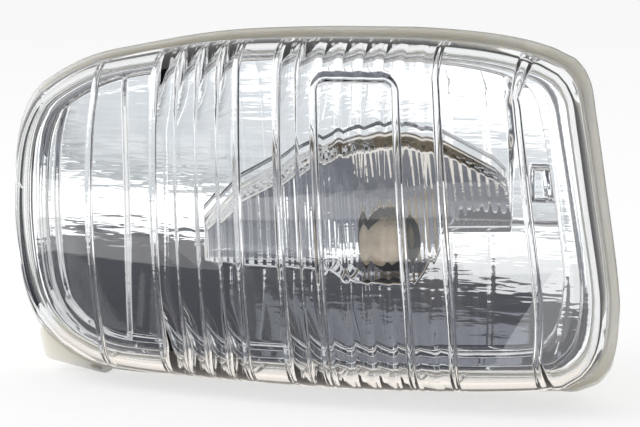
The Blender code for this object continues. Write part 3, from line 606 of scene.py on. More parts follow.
def settle(piece: Object) -> None:
    """Makes what a piece's modifiers show its plain mesh, and removes them.

    Args:
        piece: The piece.
    """
    seen = piece.evaluated_get(bpy.context.evaluated_depsgraph_get())
    mesh = bpy.data.meshes.new_from_object(seen)
    piece.modifiers.clear()
    piece.data = mesh


def hand_over(piece: Object, body: Body, slot: str, *nodes: str) -> None:
    """Lets a finished piece ride on its body in place of CAD nodes.

    Args:
        piece: The piece.
        body: The body that it moves with.
        slot: Not used; the name of the record's material slot.
        nodes: The CAD nodes that it stands for.
    """
    if nodes:
        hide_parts(*nodes)
    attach(piece, body.value)
    faces = sum(len(face.vertices) - 2 for face in piece.data.polygons)
    log.info("%s: %d triangles", piece.name, faces)


# Geometry Nodes trees


def new_tree(name: str, sizes: dict[str, str]) -> tuple[NodeTree, dict[str, NodeSocket]]:
    """Starts a tree that takes a mesh, sizes and a material.

    Args:
        name: The tree's name.
        sizes: Input name to its socket type.

    Returns:
        The tree, and its inputs by name.
    """
    tree = bpy.data.node_groups.new(name, "GeometryNodeTree")
    for label, kind in {"Geometry": "NodeSocketGeometry", **sizes, "Material": "NodeSocketMaterial"}.items():
        tree.interface.new_socket(label, in_out="INPUT", socket_type=kind)
    tree.interface.new_socket("Geometry", in_out="OUTPUT", socket_type="NodeSocketGeometry")
    start = add_node(tree, "NodeGroupInput")
    return tree, {socket.name: socket for socket in start.outputs if socket.name}


def end_tree(tree: NodeTree, result: Node, given: dict[str, NodeSocket]) -> None:
    """Ends a tree in Realize Instances and Set Material.

    Args:
        tree: The tree.
        result: The node whose first output is the geometry.
        given: The tree's inputs by name.
    """
    real = add_node(tree, "GeometryNodeRealizeInstances", None, {0: result})
    real = {"Geometry": real, "Material": given["Material"]}
    add_node(tree, "NodeGroupOutput", None, {0: add_node(tree, "GeometryNodeSetMaterial", None, real)})


class Relief:
    """Trees that raise a surface along its points' stored "inward", as far as their stored "optic" allows."""

    def __init__(self) -> None:
        """Builds the two trees."""
        self.rib = self.rib_tree()
        self.band = self.band_tree()

    def raised(self, tree: NodeTree, known: dict, steps: tuple) -> NodeTree:
        """Ends a tree by working out a height for each point and moving the point by it.

        Args:
            tree: The tree.
            known: Name to what gives its value. Other names are values that the points have stored.
            steps: For each its name, its operation, and what goes in, by name or as a number. The last
                one's name is "height".

        Returns:
            The tree.
        """
        stored = "GeometryNodeInputNamedAttribute"
        for name, operation, *parts in (*steps, ("height", "MULTIPLY", "height", "optic")):
            for part in parts:
                if isinstance(part, str) and part not in known:
                    known[part] = add_node(tree, stored, {"data_type": "FLOAT"}, {"Name": part})
            inputs = {index: known.get(part, part) for index, part in enumerate(parts)}
            known[name] = add_node(tree, MATH, {"operation": operation}, inputs)
        inward = add_node(tree, stored, {"data_type": "FLOAT_VECTOR"}, {"Name": "inward"})
        inward = {"Vector": inward, "Scale": known["height"]}
        offset = add_node(tree, "ShaderNodeVectorMath", {"operation": "SCALE"}, inward)
        moved = {"Geometry": known["Geometry"], "Offset": offset}
        end_tree(tree, add_node(tree, "GeometryNodeSetPosition", None, moved), known)
        return tree

    def rib_tree(self) -> NodeTree:
        """Returns a tree that raises a rib along an upright line, or along an arch over two of them.

        Returns:
            The tree, whose inputs are in metres.
        """
        names = ("Middle", "Half Span", "Top", "Corner", "Width", "Height")
        tree, given = new_tree("raised_rib", dict.fromkeys(names, FLOAT))
        place = add_node(tree, "GeometryNodeInputPosition")
        place = add_node(tree, "ShaderNodeSeparateXYZ", None, {0: place})
        return self.raised(tree, {**given, "up": place.outputs["Z"]}, (
            ("aside", "SUBTRACT", "across", "Middle"),
            ("aside", "ABSOLUTE", "aside"),
            ("inner", "SUBTRACT", "Half Span", "Corner"),
            ("x", "SUBTRACT", "aside", "inner"),
            ("z", "SUBTRACT", "up", "Top"),
            ("z", "ADD", "z", "Corner"),
            ("x beyond", "MAXIMUM", "x", 0.0),
            ("z beyond", "MAXIMUM", "z", 0.0),
            ("x square", "MULTIPLY", "x beyond", "x beyond"),
            ("z square", "MULTIPLY", "z beyond", "z beyond"),
            ("corner", "ADD", "x square", "z square"),
            ("corner", "SQRT", "corner"),
            ("within", "MAXIMUM", "x", "z"),
            ("within", "MINIMUM", "within", 0.0),
            ("away", "ADD", "corner", "within"),
            ("away", "SUBTRACT", "away", "Corner"),
            ("half", "MULTIPLY", "Width", 0.5),
            ("share", "DIVIDE", "away", "half"),
            ("share", "MULTIPLY", "share", "share"),
            ("round", "SUBTRACT", 1.0, "share"),
            ("round", "MAXIMUM", "round", 0.0),
            ("height", "MULTIPLY", "round", "Height"),
        ))

    def band_tree(self) -> NodeTree:
        """Returns a tree that raises a band of upright flutes or facets of one pitch.

        Returns:
            The tree, whose inputs are in metres, with a count of waves.
        """
        names = ("Start", "End", "Height", "Crest", "Hollow")
        tree, given = new_tree("flute_band", {**dict.fromkeys(names, FLOAT), "Count": "NodeSocketInt"})
        return self.raised(tree, given, (
            ("run", "SUBTRACT", "across", "Start"),
            ("length", "SUBTRACT", "End", "Start"),
            ("run", "DIVIDE", "run", "length"),
            ("run", "MULTIPLY", "run", "Count"),
            ("phase", "FRACT", "run"),
            ("before", "DIVIDE", "phase", "Crest"),
            ("left", "SUBTRACT", 1.0, "phase"),
            ("room", "SUBTRACT", 1.0, "Crest"),
            ("after", "DIVIDE", "left", "room"),
            ("tooth", "MINIMUM", "before", "after"),
            ("tooth", "POWER", "tooth", "Hollow"),
            ("begun", "GREATER_THAN", "run", 0.0),
            ("going", "LESS_THAN", "run", "Count"),
            ("height", "MULTIPLY", "tooth", "Height"),
            ("height", "MULTIPLY", "height", "begun"),
            ("height", "MULTIPLY", "height", "going"),
            ("height", "MULTIPLY", "height", "strength"),
        ))


# Rounded solids. Places are (across, depth, height), and a flat outline has two of the three.


def rounded(points: list, radius: float | tuple, closed: bool = True, steps: int = 4) -> Array:
    """Rounds the corners of an outline.

    Args:
        points: The corners.
        radius: One for all corners, or one for each.
        closed: Whether the last corner joins the first. Otherwise both keep their places.
        steps: Edges in each rounding.

    Returns:
        The points of the rounded outline.
    """
    corners = np.array(points, float)
    radii = np.broadcast_to(radius, len(corners))
    found = []
    for k, corner in enumerate(corners):
        at_end = not closed and k in (0, len(corners) - 1)
        if at_end or radii[k] == 0.0:
            found.append(corner)
            continue
        before, after = corners[k - 1] - corner, corners[(k + 1) % len(corners)] - corner
        lengths = np.linalg.norm(before), np.linalg.norm(after)
        reach = min(radii[k], 0.49 * lengths[0], 0.49 * lengths[1])
        start, end = corner + before / lengths[0] * reach, corner + after / lengths[1] * reach
        for t in np.linspace(0.0, 1.0, steps + 1):
            found.append((1 - t) ** 2 * start + 2 * t * (1 - t) * corner + t**2 * end)
    return np.array(found)


def set_in(outline: Array, inset: float) -> Array:
    """Returns a closed outline with each edge moved inwards by an inset.

    Args:
        outline: Its points.
        inset: How far each edge moves.

    Returns:
        As many points.
    """
    run = np.roll(outline, -1, 0) - outline
    run /= np.linalg.norm(run, axis=1)[:, None]
    after = np.roll(outline, -1, 0)
    side = np.sign((outline[:, 0] * after[:, 1] - after[:, 0] * outline[:, 1]).sum())
    normal = np.stack([-run[:, 1], run[:, 0]], -1) * side
    both = normal + np.roll(normal, 1, 0)
    return outline + inset * 2 * both / (both**2).sum(1)[:, None]


def oblong(middle: tuple, width: float, height: float) -> list[tuple[float, float]]:
    """Returns the four corners of a rectangle."""
    (x, y), half, rise = middle, width / 2, height / 2
    return [(x - half, y - rise), (x + half, y - rise), (x + half, y + rise), (x - half, y + rise)]


def closed_mesh(points: Array, faces: list) -> Mesh:
    """Returns a mesh with its doubles merged and its faces pointing out, in the row frame.

    Args:
        points: Places (across, depth, height).
        faces: The points of each face, by number.

    Returns:
        The mesh.
    """
    mesh = bpy.data.meshes.new("solid")
    mesh.from_pydata((points.reshape(-1, 3) + ORIGIN).tolist(), [], faces)
    work = bmesh.new()
    work.from_mesh(mesh)
    bmesh.ops.remove_doubles(work, verts=work.verts, dist=0.001 * MM)
    bmesh.ops.recalc_face_normals(work, faces=work.faces)
    work.to_mesh(mesh)
    work.free()
    return mesh


def loft(rings: list[Array]) -> Mesh:
    """Returns a closed mesh from a run of rings, with a flat cap on the first and on the last.

    Args:
        rings: Rings of as many points each.

    Returns:
        The mesh.
    """
    count = len(rings[0])
    index = np.arange(len(rings) * count).reshape(len(rings), count)
    after = np.roll(index, -1, 1)
    faces = np.stack([index[:-1], after[:-1], after[1:], index[1:]], -1).reshape(-1, 4).tolist()
    return closed_mesh(np.array(rings), faces + [index[0].tolist(), index[-1].tolist()])


def drawn_out(outline: Array, start: float, end: float, edge: float, axis: int = 1) -> Mesh:
    """Draws a flat outline out along an axis, with rounded edges at both ends.

    Args:
        outline: Its points, by the two other axes.
        start: Where the solid starts.
        end: Where it ends.
        edge: The radius of the rounded edges.
        axis: 0 for across, 1 for depth and 2 for height.

    Returns:
        A closed mesh.
    """
    turns = np.radians((0, 30, 60, 90))
    levels = [(start + edge * (1 - math.cos(turn)), edge * (1 - math.sin(turn))) for turn in turns]
    levels += [(end - (place - start), inset) for place, inset in reversed(levels)]
    return loft([np.insert(set_in(outline, inset), axis, place, axis=1) for place, inset in levels])


def turned(profile: Array, middle: tuple, closed: bool = False, sides: int = 96) -> Mesh:
    """Turns a profile round an axis that runs along the depth.

    Args:
        profile: Its points (radius, depth).
        middle: The axis's place (across, height).
        closed: True for a ring's section. Otherwise both ends lie on the axis.
        sides: Faces round the axis.

    Returns:
        A closed mesh.
    """
    turns = 2 * math.pi * np.arange(sides) / sides
    radius, depth = profile.T
    points = np.stack([
        middle[0] + np.outer(np.cos(turns), radius), np.tile(depth, (sides, 1)),
        middle[1] + np.outer(np.sin(turns), radius),
    ], -1)
    index = np.arange(sides * len(profile)).reshape(sides, -1)
    beside = np.roll(index, -1, 0)
    quads = np.stack([index, beside, np.roll(beside, -1, 1), np.roll(index, -1, 1)], -1)
    return closed_mesh(points, (quads if closed else quads[:, :-1]).reshape(-1, 4).tolist())


def block(middle: tuple, width: float, height: float, corner: float, start: float, end: float,
          edge: float) -> Mesh:
    """Returns an oblong bar along the depth, with rounded corners and edges."""
    return drawn_out(rounded(oblong(middle, width, height), corner), start, end, edge)


def post(middle: tuple, radius: float, front: float, back: float, edge: float, sides: int = 96) -> Mesh:
    """Returns a round bar along the depth, with rounded edges."""
    corners = [(0.0, front), (radius, front), (radius, back), (0.0, back)]
    return turned(rounded(corners, edge, closed=False), middle, sides=sides)


def sector(inner: float, outer: float, middle: float, span: float) -> Array:
    """Returns the outline of a piece of a ring round the bulb's axis, its angles in degrees.

    Args:
        inner: The inner radius.
        outer: The outer radius.
        middle: The angle of its middle.
        span: The angle that it spans.

    Returns:
        Points (across, height).
    """
    turns = np.radians(middle + span * np.linspace(-0.5, 0.5, 13))
    arcs = [np.stack([np.cos(turns), np.sin(turns)], -1) * radius for radius in (inner, outer)]
    return np.concatenate([arcs[0], arcs[1][::-1]]) + BULB_MIDDLE


def boolean(piece: Object, operation: str, meshes: list[Mesh]) -> None:
    """Joins closed meshes to a closed piece, or takes them away from it, and leaves it closed.

    Args:
        piece: The piece, which keeps no modifier.
        operation: UNION or DIFFERENCE.
        meshes: The closed meshes. With none, nothing happens.
    """
    if not meshes:
        return
    helpers = bpy.data.collections.new(operation.lower())
    bpy.context.scene.collection.children.link(helpers)
    for mesh in meshes:
        helpers.objects.link(bpy.data.objects.new("helper", mesh))
    modifier = piece.modifiers.new(operation.lower(), "BOOLEAN")
    modifier.operation, modifier.solver = operation, "MANIFOLD"
    modifier.operand_type, modifier.collection = "COLLECTION", helpers
    settle(piece)
    for helper in list(helpers.objects):
        bpy.data.objects.remove(helper)
    bpy.data.collections.remove(helpers)


def combine(name: str, finish: Finish, solids: list, cuts: list) -> Object:
    """Joins solids into one body, takes others away from it, and shades its flats evenly.

    Args:
        name: The piece's name.
        finish: Its finish.
        solids: Closed meshes that overlap.
        cuts: Closed meshes to take away.

    Returns:
        The piece, with no modifier left.
    """
    piece = new_piece(name, solids[0], finish)
    boolean(piece, "UNION", solids[1:])
    boolean(piece, "DIFFERENCE", cuts)
    piece.data.shade_smooth()
    piece.data.set_sharp_from_angle(angle=math.radians(32))
    piece.modifiers.new("even_shading", "WEIGHTED_NORMAL").keep_sharp = True
    settle(piece)
    return piece


# Lens


@dataclass(frozen=True)
class FluteBand:
    """Upright flutes between two ribs. A crest near 0 gives saw teeth, and 0.5 even ridges."""

    rib: int
    count: int
    height: float
    crest: float = 0.07


@dataclass
class Lens:
    """The clear cover: a crowned face, a rolled edge, a skirt and a welded flange."""

    outline: Outline
    relief: Relief
    depth: float = 24.0 * MM
    wall: float = 2.2 * MM
    roll: float = 8.0 * MM
    crown_across: float = 14.0 * MM
    bend_radius: float = 308.0 * MM
    arch_radius: float = 190.0 * MM
    overhang: float = 2.0 * MM
    flange: float = 2.0 * MM
    edge: float = 0.5 * MM
    roll_steps: int = 10
    skirt_parts: tuple = (0.3, 0.6, 0.9, 1.0)
    inner_parts: tuple = (0.15, 0.3, 0.45, 0.6, 0.75, 0.9, 1.0)
    row_pitch: float = 1.1 * MM
    line_pitch: float = 1.8 * MM
    ribs: tuple = (-45.6 * MM, -30.1 * MM, -9.9 * MM, -0.4 * MM, 8.3 * MM, 26.9 * MM, 35.9 * MM, 53.4 * MM)
    rib_width: float = 1.7 * MM
    rib_height: float = 0.6 * MM
    # Lines from bottom to top lie at these parts of a rib's half width, and others keep clear of the rib
    rib_shares: tuple = tuple(0.2 * k for k in range(-6, 7))
    rib_clearance: float = 1.3
    edge_shares: tuple = (0.0, 0.006, 0.014)
    close_rows: tuple = (0.012, 0.93)
    top_rows: int = 14
    flute_end: float = 0.985
    flute_lines: tuple = (4, 9)
    least_gap: float = 0.04 * MM
    bands: tuple = (
        FluteBand(1, 4, 1.5 * MM), FluteBand(3, 2, 1.2 * MM), FluteBand(4, 4, 0.6 * MM, 0.35),
        FluteBand(5, 2, 0.3 * MM, 0.35),
    )
    flute_hollow: float = 1.6
    face_strength: float = 0.22
    fade_start: float = 0.42
    fade_run: float = 0.36
    panel_ribs: tuple = (4, 5)
    panel_top: float = 31.0 * MM
    panel_corner: float = 2.8 * MM

    def places(self) -> Array:
        """Returns the places across of the lines from bottom to top, closer at ribs and flutes.

        Returns:
            The places, from left to right.
        """
        start, end = self.outline.span(even(self.overhang + self.roll))
        half = self.rib_width / 2
        clear = half * self.rib_clearance
        busy = [(rib - clear, rib + clear) for rib in self.ribs]
        fine = [rib + half * share for rib in self.ribs for share in self.rib_shares]
        for band in self.bands:
            low, high = self.ribs[band.rib], self.ribs[band.rib + 1]
            busy.append((low, high))
            pitch = (high - low) / band.count
            rising, falling = self.flute_lines
            shares = np.linspace(0.0, band.crest, rising)
            shares = [*shares, *np.linspace(band.crest, self.flute_end, falling)[1:]]
            fine += [low + (k + share) * pitch for k in range(band.count) for share in shares]
        coarse = np.arange(start, end, self.line_pitch)[1:-1]
        coarse = [place for place in coarse if not any(low < place < high for low, high in busy)]
        found = np.array(sorted(coarse + fine))
        return found[np.concatenate([[True], np.diff(found) > self.least_gap])]

    def fall(self, points: Array) -> Array:
        """Returns how far the crowned face has fallen back at points (across, height)."""
        sideways = (points[..., 0] - self.crown_across) ** 2 / (2 * self.bend_radius)
        return sideways + points[..., 1] ** 2 / (2 * self.arch_radius)

    def ring(self, lines: tuple[Array, Array], inset: float) -> Array:
        """Returns the points at an inset that lie straight out from the face's lines."""
        return self.outline.ring(*lines, even(inset), even(self.overhang + self.roll))

    def rolled(self, lines: tuple[Array, Array], inset: float, radius: float, front: float) -> list[Array]:
        """Returns the rings of a roll that leads from the face to a wall.

        Args:
            lines: The shares of the face's lines across, and of the points on them.
            inset: The wall's inset.
            radius: The roll's radius.
            front: The depth at which it starts, where the face hasn't fallen back.

        Returns:
            The rings, from front to back.
        """
        rings = []
        for turn in np.radians(np.linspace(0, 90, self.roll_steps + 1))[1:]:
            points = self.ring(lines, inset + radius * (1 - math.sin(turn)))
            rings.append(at_depth(points, self.fall(points) + front + radius * (1 - math.cos(turn))))
        return rings

    def upright(self, lines: tuple[Array, Array], inset: float, end: float, parts: tuple) -> list[Array]:
        """Returns the rings of a wall.

        Args:
            lines: As for rolled.
            inset: The wall's inset.
            end: The depth of its back end.
            parts: Where the rings lie, as parts of the way from the roll to that end.

        Returns:
            The rings, from front to back.
        """
        points = self.ring(lines, inset)
        top = self.fall(points) - self.depth + self.roll
        return [at_depth(points, top + (end - top) * part) for part in parts]

    def build(self) -> Object:
        """Builds the lens with its ribs and flutes.

        Returns:
            The finished piece.
        """
        start, end = self.outline.span(even(self.overhang + self.roll))
        near = np.array(self.edge_shares)
        shares = np.concatenate([near, (self.places() - start) / (end - start), 1 - near[::-1]])
        rows = int((self.outline.height - 2 * self.overhang - 2 * self.roll) / self.row_pitch)
        foot, head = self.close_rows
        upper = np.linspace(head + foot / 2, 1.0, self.top_rows)
        up = np.concatenate([[0.0, foot / 3], np.linspace(foot, head, rows), upper])
        lines, e, wall = (shares, up), self.edge, self.overhang + self.wall
        outer = self.rolled(lines, self.overhang, self.roll, -self.depth)
        outer += self.upright(lines, self.overhang, -self.flange - e, self.skirt_parts)
        outer += [at_depth(self.ring(lines, inset), depth) for inset, depth in (
            (self.overhang - 0.3 * e, -self.flange - 0.3 * e), (self.overhang - e, -self.flange),
            (e, -self.flange), (0.3 * e, -self.flange + 0.3 * e), (0.0, -self.flange + e),
            (0.0, -e), (0.3 * e, -0.3 * e), (e, 0.0),
        )]
        inner = self.rolled(lines, wall, self.roll - self.wall, self.wall - self.depth)
        inner += self.upright(lines, wall, 0.0, self.inner_parts)
        inner.reverse()
        face = self.outline.patch(shares, up, even(self.overhang + self.roll))
        front = self.fall(face) - self.depth
        body = Moulding(at_depth(face, front), outer + inner, at_depth(face, front + self.wall))
        piece = new_piece("lens_clear", body.mesh("lens_clear"), CLEAR)
        across = (start + (end - start) * shares)[:, None]
        self.prepare(piece.data, body, np.broadcast_to(across, front.shape), inner)
        self.raise_optics(piece)
        settle(piece)
        hand_over(piece, Body.LAMP, "lens", "lens")
        return piece

    def prepare(self, mesh: Mesh, body: Moulding, across: Array, inner: list[Array]) -> None:
        """Stores what the relief trees read. The optics fade out over the rings inside the roll.

        Args:
            mesh: The lens's mesh.
            body: What it was made from.
            across: Each face point's place across, as its line has it.
            inner: The rings behind the face.
        """
        rim = rim_of(across)
        blank = np.zeros(len(rim))
        fade = [blank] * (len(body.rings) - len(inner))
        fade += [blank + share**0.5 for share in np.linspace(0, 1, len(inner))]
        heights = np.abs(body.front[..., 2]) / (self.outline.height / 2)
        near = smooth_step((heights - self.fade_start) / self.fade_run)
        strength = self.face_strength + (1 - self.face_strength) * near
        normals = np.empty(len(mesh.vertices) * 3, np.float32)
        mesh.vertex_normals.foreach_get("vector", normals)
        store(mesh, "across", body.spread(across, rim, across))
        store(mesh, "optic", body.spread(across * 0.0, fade, across * 0.0 + 1.0))
        store(mesh, "strength", body.spread(strength, blank + 1.0, strength))
        store(mesh, "inward", normals.reshape(-1, 3))

    def raise_optics(self, piece: Object) -> None:
        """Raises the flutes, the upright ribs and the arch over the panel, on the inner face.

        Args:
            piece: The lens.
        """
        common = {"Material": CLEAR.material()}
        for band in self.bands:
            low, high = self.ribs[band.rib], self.ribs[band.rib + 1]
            add_tree(piece, self.relief.band, {
                "Start": low, "End": high, "Count": band.count, "Height": band.height, "Crest": band.crest,
                "Hollow": self.flute_hollow, **common,
            })
        common |= {"Width": self.rib_width, "Height": self.rib_height}
        # An upright rib is an arch without span whose top, at 1 m, is far above the lens
        upright = {"Half Span": 0.0, "Top": 1.0, "Corner": 0.0}
        for index, rib in enumerate(self.ribs):
            if index not in self.panel_ribs:
                add_tree(piece, self.relief.rib, {"Middle": rib, **upright, **common})
        left, right = (self.ribs[index] for index in self.panel_ribs)
        arch = {
            "Middle": (left + right) / 2, "Half Span": (right - left) / 2, "Top": ORIGIN[2] + self.panel_top,
            "Corner": self.panel_corner,
        }
        add_tree(piece, self.relief.rib, {**arch, **common})


# Reflector


@dataclass(frozen=True)
class Pocket:
    """A rectangle of the tray that lies deeper, with walls that run back over so much width."""

    left: float
    right: float
    bottom: float
    top: float
    depth: float
    run: float = 0.5 * MM
    top_run: float = 0.5 * MM

    def sink(self, grid: Array) -> Array:
        """Returns how much deeper each point (across, height) of the tray lies.

        Args:
            grid: The points.

        Returns:
            A depth for each.
        """
        x, z = grid[..., 0], grid[..., 1]
        sides = smooth_step((x - self.left) / self.run) * smooth_step((self.right - x) / self.run)
        ends = smooth_step((z - self.bottom) / self.run) * smooth_step((self.top - z) / self.top_run)
        return self.depth * sides * ends


@dataclass
class Reflector:
    """The metallised tray, with its steps, its channel and the almond-shaped recess round the bulb."""

    outline: Outline
    relief: Relief
    rim_inset: float = 4.8 * MM
    rim_rise: float = 1.5 * MM
    wall: float = 1.6 * MM
    depth: float = 7.0 * MM
    arch_radius: float = 180.0 * MM
    floor_insets: tuple = (8.0 * MM, 14.0 * MM, 8.0 * MM, 6.9 * MM)
    ledge_insets: tuple = (7.3 * MM, 8.9 * MM, 5.6 * MM, 6.2 * MM)
    ledge_depth: float = 2.5 * MM
    wall_run: float = 0.6 * MM
    wall_shares: tuple = (-0.3, *np.linspace(0.0, 1.0, 9), 1.3)
    steps: tuple = (-44.8 * MM, -59.5 * MM)
    step_height: float = 2.2 * MM
    step_run: float = 0.5 * MM
    recess_depth: float = 16.0 * MM
    recess_bend: float = 129.0 * MM
    recess_arch: tuple = (110.0 * MM, 50.0 * MM)
    arch_change: tuple = (-8.0 * MM, 20.0 * MM)
    recess_left: float = -28.7 * MM
    recess_right: float = 45.0 * MM
    recess_top: tuple = (
        (-28.7, -5.0), (-18.7, 2.7), (-4.0, 10.7), (8.0, 15.0), (20.0, 17.2), (31.6, 15.0), (42.5, 9.2),
        (45.0, 6.5),
    )
    recess_foot: tuple = (
        (-28.7, -14.6), (2.0, -15.2), (8.0, -17.8), (22.0, -17.8), (27.0, -12.0), (31.0, -4.0), (45.0, -3.4),
    )
    recess_run: float = 4.0 * MM
    lip_width: float = 2.3 * MM
    lip_height: float = 0.9 * MM
    facet_pitch: float = 2.0 * MM
    facet_height: float = 0.2 * MM
    facet_shares: tuple = (0.0, 0.12, 0.38, 0.5, 0.62, 0.88)
    hole_radius: float = 7.6 * MM
    hole_edge: float = 0.1 * MM
    rim_rounding: float = 0.3 * MM
    rim_width: float = 0.4 * MM
    line_pitch: float = 1.0 * MM
    line_gap: float = 0.05 * MM
    # Lines from bottom to top lie at these parts of a step's run, on both sides of it
    step_shares: tuple = (-1.0, -0.5, -0.25, 0.0, 0.25, 0.5, 1.0)
    row_counts: tuple = (20, 5, 44, 9, 14, 36)
    lip_slope: float = 10.4
    pockets: tuple = (
        Pocket(45.6 * MM, 56.8 * MM, -3.4 * MM, 31.6 * MM, 2.2 * MM, top_run=3.4 * MM),
        Pocket(50.2 * MM, 54.2 * MM, 1.4 * MM, 9.6 * MM, 2.6 * MM, top_run=1.2 * MM),
    )

    def places(self) -> Array:
        """Returns the places across of the lines from bottom to top.

        Returns:
            The places, from left to right.
        """
        start, end = self.outline.span(self.floor_insets)
        left, right = self.recess_left, self.recess_right
        edges = [*self.steps, left, right]
        edges += [edge for pocket in self.pockets for edge in (pocket.left, pocket.right)]
        fine = [edge + self.step_run * share for edge in edges for share in self.step_shares]
        numbers = np.arange(round((right - left) / self.facet_pitch))
        facets = left + np.add.outer(numbers, self.facet_shares).ravel() * self.facet_pitch
        facets = facets[(facets > left + self.step_run) & (facets < right - self.step_run)]
        coarse = np.arange(start, end, self.line_pitch)[1:-1]
        coarse = coarse[(coarse < left) | (coarse > right)]
        found = np.sort(np.concatenate([fine, facets, coarse]))
        return found[np.concatenate([[True], np.diff(found) > self.line_gap])]

    def rows(self, places: Array, low: Array, high: Array) -> tuple[Array, Array, Array]:
        """Returns the rows of points on the lines.

        Args:
            places: The lines' places across.
            low: The height at which each line starts.
            high: The height at which it ends.

        Returns:
            Each line's heights, and for each row how far it is in the recess and on the lip.
        """
        foot, head = (
            np.interp(places, *(np.array(curve) * MM).T) for curve in (self.recess_foot, self.recess_top)
        )
        # From and to what height a zone goes, how far in the recess it starts and ends, and if it is the lip
        zones = (
            (low, foot - self.step_run, 0.0, 0.0, False), (foot - self.step_run, foot, 0.0, 1.0, False),
            (foot, head - self.recess_run, 1.0, 1.0, False), (head - self.recess_run, head, 1.0, 0.0, False),
            (head, head + self.lip_width, 0.0, 0.0, True), (head + self.lip_width, high, 0.0, 0.0, False),
        )
        heights, inside, lip = [], [], []
        for (start, end, first, last, on_lip), count in zip(zones, self.row_counts):
            for share in np.arange(count) / count:
                heights.append(start + (end - start) * share)
                inside.append(first + (last - first) * smooth_step(share))
                lip.append(smooth_step(self.lip_slope * share * (1 - share)) if on_lip else 0.0)
        return np.array([*heights, high]).T, np.array([*inside, 0.0]), np.array([*lip, 0.0])

    def tray(self, grid: Array, places: Array) -> Array:
        """Returns the depth of the tray's floor, without the recess.

        Args:
            grid: Points (across, height), a row for each line.
            places: The lines' places across.

        Returns:
            A depth for each point.
        """
        depth = self.depth - grid[..., 1] ** 2 / (2 * self.arch_radius)
        for step in self.steps:
            depth = depth - self.step_height * smooth_step((step - places) / self.step_run + 0.5)[:, None]
        for pocket in self.pockets:
            depth = depth + pocket.sink(grid)
        return depth

    def bowl(self, grid: Array) -> Array:
        """Returns the depth of the recess's floor.

        Args:
            grid: Points (across, height).

        Returns:
            A depth for each point.
        """
        aside, above = grid[..., 0] - BULB_AXIS[0], grid[..., 1] - BULB_AXIS[2]
        (left, right), (start, run) = self.recess_arch, self.arch_change
        arch = left + (right - left) * smooth_step((grid[..., 0] - start) / run)
        return self.recess_depth - aside**2 / (2 * self.recess_bend) - above**2 / (2 * arch)

    def edge(self, shares: Array, up: Array, floor: Array) -> list[Array]:
        """Returns the rings from the floor's edge over the ledge and the rim to the back.

        Args:
            shares: The lines, as parts of the way across.
            up: The points on each line.
            floor: The depth of the floor's edge.

        Returns:
            The rings, each of points (across, depth, height).
        """

        def ring(insets: tuple, depth: Array | float, bent: bool = True) -> Array:
            """Returns a ring at a depth, bent as the tray's arch is unless it's to be flat."""
            points = self.outline.ring(shares, up, insets)
            fall = points[:, 1] ** 2 / (2 * self.arch_radius) if bent else 0.0
            return at_depth(points, depth - fall)

        fall = self.outline.ring(shares, up, self.floor_insets)[:, 1] ** 2 / (2 * self.arch_radius)
        flat_floor = floor + fall
        ledge = np.minimum(flat_floor - self.line_gap, self.ledge_depth)
        rings = []
        for start, low, high in (
            (self.floor_insets, flat_floor, ledge), (self.ledge_insets, ledge, -self.rim_rise),
        ):
            # The first and the last ring lie in the flats beside the wall, which keeps those flat to the eye
            for share in self.wall_shares:
                insets = tuple(inset - self.wall_run * share for inset in start)
                rings.append(ring(insets, low + (high - low) * smooth_step(share)))
        # The grid itself ends at the first wall's foot, and the rim's rounding starts at the second's head
        rings = rings[2:-1]
        for inset, depth in ((1.0, 0.0), (0.3, 0.3), (0.0, 1.0)):
            inset = self.rim_inset + self.rim_rounding * inset
            rings.append(ring(even(inset), self.rim_rounding * depth - self.rim_rise))
        rings.append(ring(even(self.rim_inset), 0.0, False))
        behind = tuple(inset - self.wall_run - self.wall for inset in self.ledge_insets)
        least = self.rim_inset + self.rim_width
        rings.append(ring(tuple(max(inset, least) for inset in behind), 0.0, False))
        return rings

    def build(self) -> Object:
        """Builds the reflector with its facets and the hole for the bulb.

        Returns:
            The finished piece.
        """
        start, end = self.outline.span(self.floor_insets)
        places = np.concatenate([[start], self.places(), [end]])
        shares = (places - start) / (end - start)
        ends = self.outline.patch(shares, np.array([0.0, 1.0]), self.floor_insets)[..., 1]
        heights, inside, lip = self.rows(places, ends[:, 0], ends[:, 1])
        up = (heights - ends[:, :1]) / (ends[:, 1:] - ends[:, :1])
        grid = self.outline.patch(shares, up, self.floor_insets)
        across = smooth_step((places - self.recess_left) / self.step_run)
        across = (across * smooth_step((self.recess_right - places) / self.step_run))[:, None]
        tray, sunk = self.tray(grid, places), across * inside[None]
        depth = tray + (np.maximum(self.bowl(grid), tray) - tray) * sunk
        depth = depth - self.lip_height * across * lip[None]

        front, back = at_depth(grid, depth), at_depth(grid, depth + self.wall)
        body = Moulding(front, self.edge(shares, up, rim_of(depth)), back)
        piece = new_piece("reflector_tray", body.mesh("reflector_tray"), BRIGHT)
        spread = np.broadcast_to(places[:, None], depth.shape)
        rim = rim_of(spread)
        size = len(piece.data.vertices)
        store(piece.data, "across", body.spread(spread, rim, spread))
        store(piece.data, "optic", body.spread(sunk, rim * 0.0, sunk * 0.0))
        store(piece.data, "strength", np.ones(size))
        store(piece.data, "inward", np.tile((0.0, -1.0, 0.0), (size, 1)))
        count = round((self.recess_right - self.recess_left) / self.facet_pitch)
        add_tree(piece, self.relief.band, {
            "Start": self.recess_left, "End": self.recess_left + count * self.facet_pitch, "Count": count,
            "Height": self.facet_height, "Crest": 0.5, "Hollow": 1.0, "Material": BRIGHT.material(),
        })
        settle(piece)
        end = self.recess_depth + 3 * self.wall
        hole = post(BULB_MIDDLE, self.hole_radius, 0.0, end, self.hole_edge)
        boolean(piece, "DIFFERENCE", [hole])
        hand_over(piece, Body.LAMP, "reflector", "reflector")
        return piece


